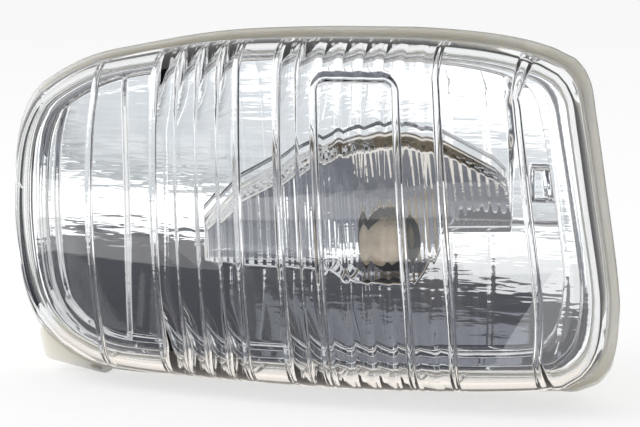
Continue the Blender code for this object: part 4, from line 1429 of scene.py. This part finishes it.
class BeadRing:
    """A tree that adds a ring of round beads along the depth, such as the grip round a collar."""

    def __init__(self) -> None:
        """Builds the tree."""
        sizes = {
            "Count": "NodeSocketInt", "Ring Radius": FLOAT, "Bead Radius": FLOAT, "Length": FLOAT,
            "Middle": "NodeSocketVector",
        }
        tree, given = new_tree("bead_ring", sizes)
        ring = {"Vertices": given["Count"], "Radius": given["Ring Radius"]}
        ring = add_node(tree, "GeometryNodeMeshCircle", None, ring)
        bead = {"Vertices": 14, "Radius": given["Bead Radius"], "Depth": given["Length"]}
        bead = add_node(tree, "GeometryNodeMeshCylinder", None, bead).outputs["Mesh"]
        beads = add_node(tree, "GeometryNodeInstanceOnPoints", None, {"Points": ring, "Instance": bead})
        placed = add_node(
            tree, "GeometryNodeTransform", None,
            {"Geometry": beads, "Translation": given["Middle"], "Rotation": (math.radians(-90), 0.0, 0.0)},
        )
        join = add_node(tree, "GeometryNodeJoinGeometry")
        tree.links.new(given["Geometry"], join.inputs[0])
        tree.links.new(placed.outputs[0], join.inputs[0])
        end_tree(tree, join, given)
        self.tree = tree

    def add(self, piece: Object, finish: Finish, count: int, radius: float, bead: float,
            start: float, end: float, middle: tuple) -> None:
        """Adds a ring of beads to a piece.

        Args:
            piece: The piece.
            finish: Its finish.
            count: How many beads.
            radius: The ring's radius.
            bead: A bead's radius.
            start: The depth at which the beads start.
            end: The depth at which they end.
            middle: The ring's middle (across, height).
        """
        place = ORIGIN + np.array((middle[0], (start + end) / 2, middle[1]))
        add_tree(piece, self.tree, {
            "Count": count, "Ring Radius": radius, "Bead Radius": bead, "Length": end - start,
            "Middle": place.tolist(), "Material": finish.material(),
        })
        settle(piece)


# Housing


@dataclass
class Housing:
    """The tub behind the reflector, with its neck, pad, screw bosses, vent tube, hooks and corner tabs."""

    outline: Outline
    flange_front: float = 0.3 * MM
    flange: float = 2.5 * MM
    flange_inset: float = 0.6 * MM
    cavity_inset: float = 5.3 * MM
    wall: float = 2.0 * MM
    depth: float = 24.2 * MM
    draft: float = 2.7 * MM
    floor_width: float = 5.0 * MM
    neck_radius: float = 13.5 * MM
    neck_end: float = 28.0 * MM
    bore: float = 8.5 * MM
    notch: tuple = (7.2 * MM, 10.5 * MM, 44.0)
    unlock_turn: float = 45.0
    pad_end: float = 32.0 * MM
    pad: tuple = ((15.5 * MM, 12.0 * MM), 18.0 * MM, 11.0 * MM)
    bosses: tuple = ((-40.0 * MM, 14.0 * MM), (49.0 * MM, -17.0 * MM))
    boss_radius: float = 4.5 * MM
    pilot: tuple = (1.6 * MM, 7.0 * MM)
    gusset: tuple = (3.2 * MM, 1.2 * MM, 5.0 * MM)
    gusset_edge: float = 0.15 * MM
    edge: float = 0.4 * MM
    vent: tuple = (-30.0 * MM, -17.0 * MM)
    vent_radii: tuple = (2.2 * MM, 4.0 * MM)
    vent_end: float = 31.0 * MM
    rib_heights: tuple = (14.0 * MM, -2.0 * MM)
    rib_ends: tuple = (-54.0 * MM, -4.0 * MM)
    rib_size: tuple = (1.6 * MM, 3.0 * MM)
    hooks: tuple = (-25.0 * MM, 31.0 * MM)
    hook_width: float = 8.0 * MM
    hook_inset: float = 0.9 * MM
    hook: tuple = (1.6 * MM, 21.0 * MM, 1.4 * MM, 5.0 * MM, 0.3 * MM)
    tab_left: tuple = ((4.6, 8.8), (6.3, 1.8), (21.8, -1.2), (23.6, 0.2), (22.2, 3.9), (9.2, 13.4))
    tab_right: tuple = (
        (-14.4, 3.2), (-13.9, 1.2), (-9.9, 1.1), (-4.3, 3.4), (-1.5, 7.4), (-1.2, 11.6), (-3.6, 11.6),
        (-11.2, 4.6),
    )
    lip: tuple = (1.8 * MM, 8.0 * MM)
    slot: tuple = (3.0 * MM, 0.9 * MM, 1.1 * MM)
    pins: tuple = ((-56.0, -12.0), (-12.0, 24.0), (38.0, 18.0), (44.0, 2.0), (-20.0, 6.0), (-12.0, -24.0))
    pin_mark: tuple = (2.4 * MM, 0.15 * MM)
    tub_radii: tuple = (0.0, 1.2 * MM, 0.3 * MM, 0.4 * MM, 0.5 * MM, 0.8 * MM, 2.4 * MM, 0.0)
    neck_edge: float = 0.6 * MM
    pad_corner: float = 1.5 * MM
    rib_corner: float = 0.75 * MM
    tab_corner: float = 1.4 * MM
    bore_edge: float = 0.1 * MM
    mark_edge: float = 0.05 * MM
    # Faces that would coincide are set this far apart, so that the solids join cleanly
    apart: float = 0.03 * MM

    def tub(self) -> Mesh:
        """Returns the tub with its flange.

        Returns:
            One closed mesh.
        """
        outer = self.cavity_inset - self.wall
        front, back = self.flange_front, self.flange_front + self.flange
        corners = [
            (self.cavity_inset + self.draft + self.floor_width, self.depth - self.wall),
            (self.cavity_inset + self.draft, self.depth - self.wall), (self.cavity_inset, front),
            (self.flange_inset, front), (self.flange_inset, back), (outer, back),
            (outer + self.draft, self.depth), (outer + self.draft + self.floor_width, self.depth),
        ]
        profile = rounded(corners, self.tub_radii, closed=False, steps=5)
        return loft([at_depth(self.outline.loop(even(inset)), depth) for inset, depth in profile])

    def gussets(self, middle: tuple) -> list[Mesh]:
        """Returns the four fins round a screw boss.

        Args:
            middle: The boss's place (across, height).

        Returns:
            Two crossed bars, each of which makes two of the fins.
        """
        reach, thickness, rise = self.gusset
        foot, half = self.boss_radius + reach, self.boss_radius / 2
        found = []
        for number, (axis, centre, place) in enumerate(((0, *middle), (2, *middle[::-1])), start=1):
            root = self.depth - self.wall / 2 + number * self.apart
            top = root + self.wall / 2 + rise
            points = rounded([
                (root, centre - foot), (self.depth, centre - foot), (top, centre - half),
                (top, centre + half), (self.depth, centre + foot), (root, centre + foot),
            ], 2 * self.gusset_edge, steps=2)
            points = points[:, ::-1] if axis == 0 else points
            start, end = place - thickness / 2, place + thickness / 2
            found.append(drawn_out(points, start, end, self.gusset_edge, 2 - axis))
        return found

    def hook_at(self, across: float) -> Mesh:
        """Returns a snap hook under the bottom wall.

        Args:
            across: Its place across.

        Returns:
            A closed mesh.
        """
        thickness, end, barb, barb_length, barb_run = self.hook
        _, _, bottom, _ = self.outline.sides(even(self.hook_inset))
        low = float(np.interp(across, bottom[:, 0], bottom[:, 1]))
        start, neck = self.flange_front + self.flange - self.wall / 2, end - barb_length
        corners = [
            (start, low + thickness), (start, low), (neck, low), (neck + barb_run, low - barb), (end, low),
            (end, low + thickness),
        ]
        half = self.hook_width / 2
        return drawn_out(rounded(corners, self.edge), across - half, across + half, self.edge / 2, 0)

    def tabs(self) -> tuple[list, list]:
        """Returns the two corner tabs with their lips, and the slot to cut in the left one.

        Returns:
            The meshes to join, and those to cut.
        """
        solids, cuts = [], []
        lip, lip_end = self.lip
        front, back = self.flange_front, self.flange_front + self.flange
        length, width, inset = self.slot
        for points, side, first in ((self.tab_left, -1, 1), (self.tab_right, 1, 2)):
            corner = np.array((side * self.outline.width / 2, -self.outline.height / 2))
            outline = corner + np.array(points) * MM
            plate = rounded(outline, self.tab_corner)
            solids.append(drawn_out(plate, front + self.apart, back - self.apart, self.edge))
            start, end = outline[first], outline[first + 1]
            run = (end - start) / np.linalg.norm(end - start)
            inwards = np.array((-run[1], run[0]))
            start, end = start + inwards * self.apart, end + inwards * self.apart
            strip = rounded([start, end, end + inwards * lip, start + inwards * lip], self.tab_corner / 2)
            solids.append(drawn_out(strip, back - self.flange / 2, lip_end, self.edge))
            if side < 0:
                far = end + (inwards - run) * inset
                near, half = far - run * length, inwards * width / 2
                shape = rounded([near - half, far - half, far + half, near + half], width / 2)
                cuts.append(drawn_out(shape, -front, lip_end + front, self.mark_edge))
        return solids, cuts

    def build(self) -> Object:
        """Builds the housing as one body.

        Returns:
            The finished piece.
        """
        root, edge = self.depth - self.wall / 2, self.edge
        tabs, slots = self.tabs()
        solids = [self.tub(), *tabs, *(self.hook_at(across) for across in self.hooks)]
        solids.append(post(BULB_MIDDLE, self.neck_radius, root, self.neck_end, self.neck_edge, 128))
        solids.append(block(*self.pad, self.pad_corner, root, self.pad_end, edge))
        for boss in self.bosses:
            solids += [post(boss, self.boss_radius, root, self.pad_end, edge, 64), *self.gussets(boss)]
        solids.append(post(self.vent, self.vent_radii[1], root, self.vent_end, edge, 64))
        thickness, rise = self.rib_size
        start, end = self.rib_ends
        for height in self.rib_heights:
            size = (end - start, thickness, self.rib_corner)
            ends = (root + 3 * self.apart, self.depth + rise)
            solids.append(block(((start + end) / 2, height), *size, *ends, edge))
        through = self.depth - 2 * self.wall, self.neck_end + self.wall
        cuts = [*slots, post(BULB_MIDDLE, self.bore, *through, self.bore_edge, 128)]
        inner, outer, span = self.notch
        for lug in LUG_MIDDLES:
            notch = sector(inner, outer, lug - self.unlock_turn, span)
            cuts.append(drawn_out(notch, *through, self.mark_edge))
        radius, depth = self.pilot
        start, end = self.pad_end - depth, self.pad_end + radius
        cuts += [post(boss, radius, start, end, edge, 48) for boss in self.bosses]
        end = self.vent_end + self.wall
        cuts.append(post(self.vent, self.vent_radii[0], through[0], end, self.bore_edge, 48))
        radius, depth = self.pin_mark
        for pin in np.array(self.pins) * MM:
            cuts.append(post(pin, radius, self.depth - depth, self.depth + radius, self.mark_edge, 40))
        piece = combine("housing_natural", NATURAL, solids, cuts)
        hand_over(piece, Body.LAMP, "housing", "housing")
        return piece


# Bulb holder and bulb


@dataclass
class BulbHolder:
    """The quarter-turn holder with its seal, its plug socket and contacts, and the bulb that it carries."""

    beads: BeadRing
    barrel: tuple = (8.2 * MM, 19.2 * MM)
    collar: tuple = (13.3 * MM, 30.1 * MM, 32.6 * MM)
    grip_beads: tuple = (40, 12.9 * MM, 0.9 * MM)
    lug: tuple = (7.2 * MM, 10.2 * MM, 36.0)
    lug_depth: tuple = (19.9 * MM, 21.9 * MM)
    shroud: tuple = (17.0 * MM, 11.5 * MM, 47.6 * MM)
    shroud_wall: float = 1.7 * MM
    seat: float = 34.6 * MM
    wing: tuple = (12.0 * MM, 2.4 * MM, 39.6 * MM)
    latch: tuple = (2.5 * MM, 0.25 * MM, 0.12 * MM)
    # The latch's corners, as (depth, height above the shroud) in mm
    latch_corners: tuple = ((39.6, -0.6), (46.6, -0.6), (46.2, 0.0), (43.0, 1.3), (42.6, 0.0))
    glass: tuple = (5.1 * MM, 3.0 * MM, 22.0 * MM)
    base: tuple = (4.8 * MM, 9.4 * MM, 29.8 * MM)
    fit: float = 0.3 * MM
    contact: tuple = (0.8 * MM, 2.8 * MM, 23.8 * MM, 42.6 * MM)
    contact_inner: float = 2.8 * MM
    seal: tuple = (11.0 * MM, 13.0 * MM, 28.3 * MM, 29.8 * MM)
    edge: float = 0.5 * MM
    small_edge: float = 0.3 * MM
    cut_edge: float = 0.1 * MM
    slot_edge: float = 0.02 * MM
    shroud_corner: float = 2.0 * MM
    shroud_edge: float = 0.4 * MM
    socket_corner: float = 1.0 * MM
    wing_corners: tuple = (1.2 * MM, 1.2 * MM, 3.0 * MM, 3.0 * MM)
    slot_corner: float = 0.8 * MM
    base_corner: float = 1.2 * MM
    seal_corner: float = 0.7 * MM
    bead_gap: float = 0.2 * MM

    def body(self) -> Object:
        """Returns the nylon holder.

        Returns:
            The finished piece.
        """
        x, z = BULB_MIDDLE
        radius, front = self.barrel
        collar, collar_front, collar_back = self.collar
        root = (collar_front + collar_back) / 2
        solids = [
            post(BULB_MIDDLE, radius, front, root, self.edge, 128),
            post(BULB_MIDDLE, collar, collar_front, collar_back, self.edge, 160),
        ]
        inner, outer, span = self.lug
        for lug in LUG_MIDDLES:
            solids.append(drawn_out(sector(inner, outer, lug, span), *self.lug_depth, self.small_edge))
        width, height, back = self.shroud
        shroud = (width, height, self.shroud_corner)
        solids.append(block(BULB_MIDDLE, *shroud, root, back, self.shroud_edge))
        half, thickness, end = self.wing
        wing = [(x - half, root), (x + half, root), (x + half, end), (x - half, end)]
        wing = rounded(wing, self.wing_corners, steps=6)
        solids.append(drawn_out(wing, z - thickness / 2, z + thickness / 2, thickness / 3, 2))
        half, corner, edge = self.latch
        latch = np.array(self.latch_corners) * MM + (0.0, z + height / 2)
        solids.append(drawn_out(rounded(latch, corner), x - half, x + half, edge, 0))
        cup, _, shoulder = self.glass
        fit, beyond = self.fit, self.shroud_corner
        cuts = [post(BULB_MIDDLE, cup + fit, front - beyond, shoulder + fit, self.cut_edge)]
        thick, wide, end = self.base
        slot = (thick + 2 * fit, wide + 2 * fit, self.slot_corner)
        cuts.append(block(BULB_MIDDLE, *slot, shoulder, end + fit, self.cut_edge))
        socket = (width - 2 * self.shroud_wall, height - 2 * self.shroud_wall, self.socket_corner)
        cuts.append(block(BULB_MIDDLE, *socket, self.seat, back + beyond, self.small_edge))
        thick, wide, start, _ = self.contact
        slot = (thick + 2 * fit, wide + 2 * fit, 0.0)
        for side in (-1, 1):
            place = (x + side * (self.contact_inner + thick / 2), z)
            cuts.append(block(place, *slot, start - fit, self.seat + fit, self.slot_edge))
        piece = combine("holder_nylon", NYLON, solids, cuts)
        count, ring, bead = self.grip_beads
        start, end = collar_front + self.bead_gap, collar_back - self.bead_gap
        self.beads.add(piece, NYLON, count, ring, bead, start, end, BULB_MIDDLE)
        hand_over(piece, Body.HOLDER, "holder", "bulb_holder")
        return piece

    def contacts(self) -> None:
        """Builds the two strips that lead from the bulb's base to the plug, with tapered tips."""
        x, z = BULB_MIDDLE
        thickness, width, front, back = self.contact
        half, tip = width / 2, back - 2 * thickness
        for name, side in (("left", -1), ("right", 1)):
            start, end = sorted(x + side * (self.contact_inner + share) for share in (0.0, thickness))
            strip = [
                (front, z - half), (tip, z - half), (back, z - half / 2),
                (back, z + half / 2), (tip, z + half), (front, z + half),
            ]
            strip = rounded(strip, self.small_edge)
            strip = drawn_out(strip, start, end, self.small_edge / 2, 0)
            blade = combine("blade_" + name, TINNED, [strip], [])
            hand_over(blade, Body.HOLDER, "contacts", "contact_" + name)

    def bulb(self) -> None:
        """Builds the bulb: a glass dome on a barrel, and the flat base that the holder grips."""
        radius, tip, shoulder = self.glass
        turns = np.radians(np.linspace(90, 0, 25))
        dome = np.stack([radius * np.cos(turns), tip + radius * (1 - np.sin(turns))], -1)
        foot = [(radius, tip + radius), (radius, shoulder - radius / 3)]
        foot += [(radius * 0.75, shoulder), (0.0, shoulder)]
        profile = np.concatenate([dome[:-1], rounded(foot, self.base_corner, closed=False)])
        thickness, width, end = self.base
        size = (thickness, width, self.base_corner)
        base = block(BULB_MIDDLE, *size, shoulder - radius / 2, end, self.base_corner / 2)
        glass = combine("bulb_glass", SILVERED, [turned(profile, BULB_MIDDLE), base], [])
        hand_over(glass, Body.HOLDER, "bulb", "bulb")

    def build(self) -> None:
        """Builds the holder and all that it carries."""
        self.body()
        inner, outer, front, back = self.seal
        section = rounded([(inner, front), (outer, front), (outer, back), (inner, back)], self.seal_corner)
        ring = combine("seal_ring", RUBBER, [turned(section, BULB_MIDDLE, True, 128)], [])
        hand_over(ring, Body.HOLDER, "seal", "holder_seal")
        self.contacts()
        self.bulb()


# Vent


@dataclass
class VentCap:
    """The rubber cap on the housing's vent tube, ribbed to be gripped."""

    beads: BeadRing
    middle: tuple
    inner: float = 4.3 * MM
    outer: float = 5.8 * MM
    front: float = 25.8 * MM
    seat: float = 32.0 * MM
    back: float = 33.5 * MM
    rounding: float = 0.9 * MM
    bead: float = 0.4 * MM
    count: int = 18

    def build(self) -> Object:
        """Builds the cap.

        Returns:
            The finished piece.
        """
        side = self.outer - self.bead
        corners = [
            (0.0, self.back), (side, self.back), (side, self.front), (self.inner, self.front),
            (self.inner, self.seat), (0.0, self.seat),
        ]
        small = 0.3 * MM
        profile = rounded(corners, (0.0, self.rounding, small, small, small, 0.0), closed=False)
        piece = combine("vent_cap_rubber", RUBBER, [turned(profile, self.middle, sides=72)], [])
        start, end = self.front + self.bead, self.back - self.rounding
        self.beads.add(piece, RUBBER, self.count, side, self.bead, start, end, self.middle)
        hand_over(piece, Body.LAMP, "vent_cap", "vent_cap")
        return piece


# Studio


WHITE = (1.0, 1.0, 1.0, 1.0)


@dataclass(frozen=True)
class Card:
    """A glowing card that the camera doesn't see, only what the lamp mirrors and bends: a painted reflection,
    dark for the room and the shade round the lamp, pale for lit floor.

    A corner is (azimuth, distance, elevation, tone). Azimuth counts in degrees from straight ahead of the
    lens to the viewer's right, the distance is level, and a corner with no elevation lies on the floor.
    Each card on the floor has its own lift, so that none lies in another.
    """

    name: str
    colour: str
    corners: tuple
    lift: float = 0.0

    def build(self, level: float) -> None:
        """Builds the card.

        Args:
            level: The floor's height in the row frame.
        """
        points = []
        for azimuth, distance, elevation, _ in self.corners:
            height = ORIGIN[2] + distance * math.tan(math.radians(elevation or 0.0))
            if elevation is None:
                height = level + self.lift
            turn = math.radians(azimuth)
            place = (ORIGIN[0] + distance * math.sin(turn), ORIGIN[1] - distance * math.cos(turn), height)
            points.append(place)
        mesh = bpy.data.meshes.new(self.name)
        mesh.from_pydata(points, [], [(0, 1, 2, 3)])
        store(mesh, "tone", np.array([corner[3] for corner in self.corners]))
        made = bpy.data.materials.new(self.name)
        made.use_nodes = True
        tree = made.node_tree
        tree.nodes.clear()
        tone = add_node(tree, "ShaderNodeAttribute", {"attribute_name": "tone"})
        glow = {"Color": linear(self.colour), "Strength": tone.outputs["Fac"]}
        glow = add_node(tree, "ShaderNodeEmission", None, glow)
        add_node(tree, "ShaderNodeOutputMaterial", None, {"Surface": glow})
        mesh.materials.append(made)
        card = put(self.name, mesh)
        card.visible_camera = card.visible_diffuse = card.visible_shadow = False


@dataclass
class Studio:
    """White floor and world, glowing cards round the lamp that paint its reflections, and the camera."""

    aim: tuple = (2.75 * MM, 0.0, 0.0)
    distance: float = 450 * MM
    azimuth: float = 15.0
    elevation: float = 8.0
    lens: float = 110.0
    shift: tuple = (0.0016, -0.0117)
    level_light: float = 0.82
    key_place: tuple = (-0.5, -0.35, 0.75)
    key_power: float = 3.2
    key_size: float = 0.7
    shadow_share: float = 0.35
    floor_reach: float = 4.0
    floor_gap: float = 0.2 * MM
    cards: tuple = (
        # Painted highlight: floor that glows brighter than the lit floor, seen only in the mirror and through
        # the glass
        Card("floor_glow", "ffffff", (
            (-72, 0.14, None, 1.6), (58, 0.09, None, 1.6), (50, 1.0, None, 1.5), (-60, 1.2, None, 1.5),
        ), 0.3 * MM),
        # Painted shade on the floor farther in front, from white to grey, seen only in the mirror and through
        # the glass
        Card("painted_floor_shade", "eef1f4", (
            (-52, 0.24, None, 1.2), (8, 0.2, None, 1.2), (4, 0.38, None, 0.55), (-48, 0.3, None, 0.55),
        ), 0.6 * MM),
        # Painted shadow on the floor just in front of the lens, seen only in the mirror and through the glass
        Card("painted_shadow_near", "3a3b3f", (
            (-77, 0.133, None, 4.5), (57, 0.0537, None, 4.5), (30, 0.155, None, 5.0), (-58, 0.18, None, 6.5),
        ), 0.9 * MM),
        # Painted light: a pale cream glow on the floor right under the lamp, where the floor lies in shade,
        # seen only through the glass and in the mirror
        Card("under_glow", "f6efe7", (
            (-90, 0.08, None, 1.1), (90, 0.08, None, 1.1), (66, 0.073, None, 1.1), (-66, 0.073, None, 1.1),
        ), 0.1 * MM),
        # Painted dark reflection: an upright card just in front of the lamp, low down, that only the mirror
        # and the glass show
        Card("dark_step", "3a3b3f", (
            (-30, 0.08, None, 4.0), (30, 0.08, None, 7.0), (30, 0.08, -14.0, 7.0), (-30, 0.08, -14.0, 4.0),
        ), 1.2 * MM),
        # Painted reflections of a dark room round the camera: dark cards in front, above, to the left and to
        # the right that only the mirror and the glass show
        Card("dark_front", "4a4a4e", (
            (-40, 0.56, -6.5, 1.1), (2, 0.45, -0.5, 1.4), (2, 0.45, 9.0, 0.9), (-40, 0.56, 9.0, 0.6),
        )),
        Card("dark_above", "45454c", (
            (-40, 0.56, 9.0, 0.7), (2, 0.45, 9.0, 1.1), (2, 0.45, 56.0, 1.8), (-40, 0.56, 56.0, 1.8),
        )),
        Card("dark_side", "45454c", (
            (-62, 0.5, 0.0, 1.3), (-40, 0.56, -6.5, 1.0), (-40, 0.56, 50.0, 1.6), (-62, 0.5, 50.0, 1.6),
        )),
        Card("dark_right", "4a4a4e", (
            (2, 0.45, -0.5, 1.3), (40, 0.55, 2.0, 1.6), (40, 0.55, 20.0, 1.0), (2, 0.45, 20.0, 0.7),
        )),
        # Painted dark reflections far to the lamp's left, on an upright card and on the floor, that only the
        # mirror and the glass show
        Card("dark_left", "2c2e33", (
            (-114, 0.5, -4.0, 1.0), (-92, 0.5, -4.0, 1.0), (-92, 0.5, 18.0, 1.0), (-114, 0.5, 18.0, 1.0),
        )),
        Card("dark_left_floor", "2c2e33", (
            (-120, 0.1, None, 1.5), (-86, 0.1, None, 1.5), (-90, 0.55, None, 1.0), (-114, 0.55, None, 1.0),
        ), 0.3 * MM),
    )

    def camera(self) -> None:
        """Puts the camera where the photograph was taken from."""
        data = bpy.data.cameras.new("camera")
        data.lens = self.lens
        data.shift_x, data.shift_y = self.shift
        camera = put("camera", data)
        turn, tilt = math.radians(self.azimuth), math.radians(self.elevation)
        back = Vector((math.sin(turn) * math.cos(tilt), -math.cos(turn) * math.cos(tilt), math.sin(tilt)))
        camera.location = Vector(ORIGIN + np.array(self.aim)) + back * self.distance
        camera.rotation_euler = (-back).to_track_quat("-Z", "Y").to_euler()
        bpy.context.scene.camera = camera

    def seen(self, tree: NodeTree) -> Node:
        """Returns a node that gives 1 to what is seen, mirrored or looked through, and 0 to what is lit.

        Args:
            tree: A material's or a world's tree.

        Returns:
            The node.
        """
        ray = add_node(tree, "ShaderNodeLightPath")
        found = ray.outputs["Is Camera Ray"]
        for kind in ("Is Glossy Ray", "Is Transmission Ray"):
            found = add_node(tree, MATH, {"operation": "MAXIMUM"}, {0: found, 1: ray.outputs[kind]})
        return found

    def world(self) -> None:
        """Lights evenly from all round, and is pure white where it is seen, mirrored or looked through."""
        world = bpy.data.worlds.new("studio")
        world.use_nodes = True
        tree = world.node_tree
        shader = tree.nodes["Background"]
        shader.inputs["Color"].default_value = WHITE
        light = {"Value": self.seen(tree), "To Min": self.level_light, "To Max": 1.0}
        light = add_node(tree, "ShaderNodeMapRange", None, light)
        tree.links.new(light.outputs[0], shader.inputs["Strength"])
        bpy.context.scene.world = world

    def key(self) -> None:
        """One large soft light, from the upper left in front."""
        data = bpy.data.lights.new("key", "AREA")
        data.size, data.energy = self.key_size, self.key_power
        light = put("key", data)
        place = Vector(self.key_place)
        light.location = Vector(ORIGIN) + place
        light.rotation_euler = place.to_track_quat("Z", "Y").to_euler()
        light.visible_glossy = light.visible_transmission = False

    def floor(self, level: float) -> None:
        """Adds the pale floor just under the lamp. It is white to the eye, but keeps the lamp's shadow.

        Args:
            level: Its height in the row frame.
        """
        r = self.floor_reach
        mesh = bpy.data.meshes.new("floor")
        mesh.from_pydata([(-r, -r, level), (r, -r, level), (r, r, level), (-r, r, level)], [], [(0, 1, 2, 3)])
        made = bpy.data.materials.new("floor")
        made.use_nodes = True
        tree = made.node_tree
        shader = tree.nodes["Principled BSDF"]
        shader.inputs["Base Color"].default_value = WHITE
        shader.inputs["Roughness"].default_value = 1.0
        shader.inputs["Specular IOR Level"].default_value = 0.0
        share = {0: self.seen(tree), 1: 1 - self.shadow_share}
        share = add_node(tree, MATH, {"operation": "MULTIPLY"}, share)
        white = add_node(tree, "ShaderNodeEmission", None, {"Color": WHITE, "Strength": 1.0})
        mixed = add_node(tree, "ShaderNodeMixShader", None, {0: share, 1: shader, 2: white})
        tree.links.new(mixed.outputs[0], tree.nodes["Material Output"].inputs["Surface"])
        mesh.materials.append(made)
        floor = put("floor", mesh)

    def build(self) -> None:
        """Builds the studio."""
        level = CAD_BOX[0].z - self.floor_gap
        self.camera()
        self.world()
        self.key()
        self.floor(level)
        for card in self.cards:
            card.build(level)


def dress_membrane() -> None:
    """Gives its finish to the vent's membrane, the one CAD node that stays as it is."""
    node = frame["nodes"]["vent_membrane"]
    node.data.materials.clear()
    node.data.materials.append(FILM.material())


def main() -> None:
    """Builds the lamp and its studio."""
    logging.basicConfig(level=logging.INFO, format="%(name)s: %(message)s")
    bpy.context.scene.view_settings.view_transform = "Standard"
    outline = Outline(LENS_HIGH.x - LENS_LOW.x, LENS_HIGH.z - LENS_LOW.z)
    relief = Relief()
    Lens(outline, relief).build()
    Reflector(outline, relief).build()
    housing = Housing(outline)
    housing.build()
    beads = BeadRing()
    BulbHolder(beads).build()
    VentCap(beads, housing.vent).build()
    dress_membrane()
    Studio().build()


if __name__ == "__main__":
    main()
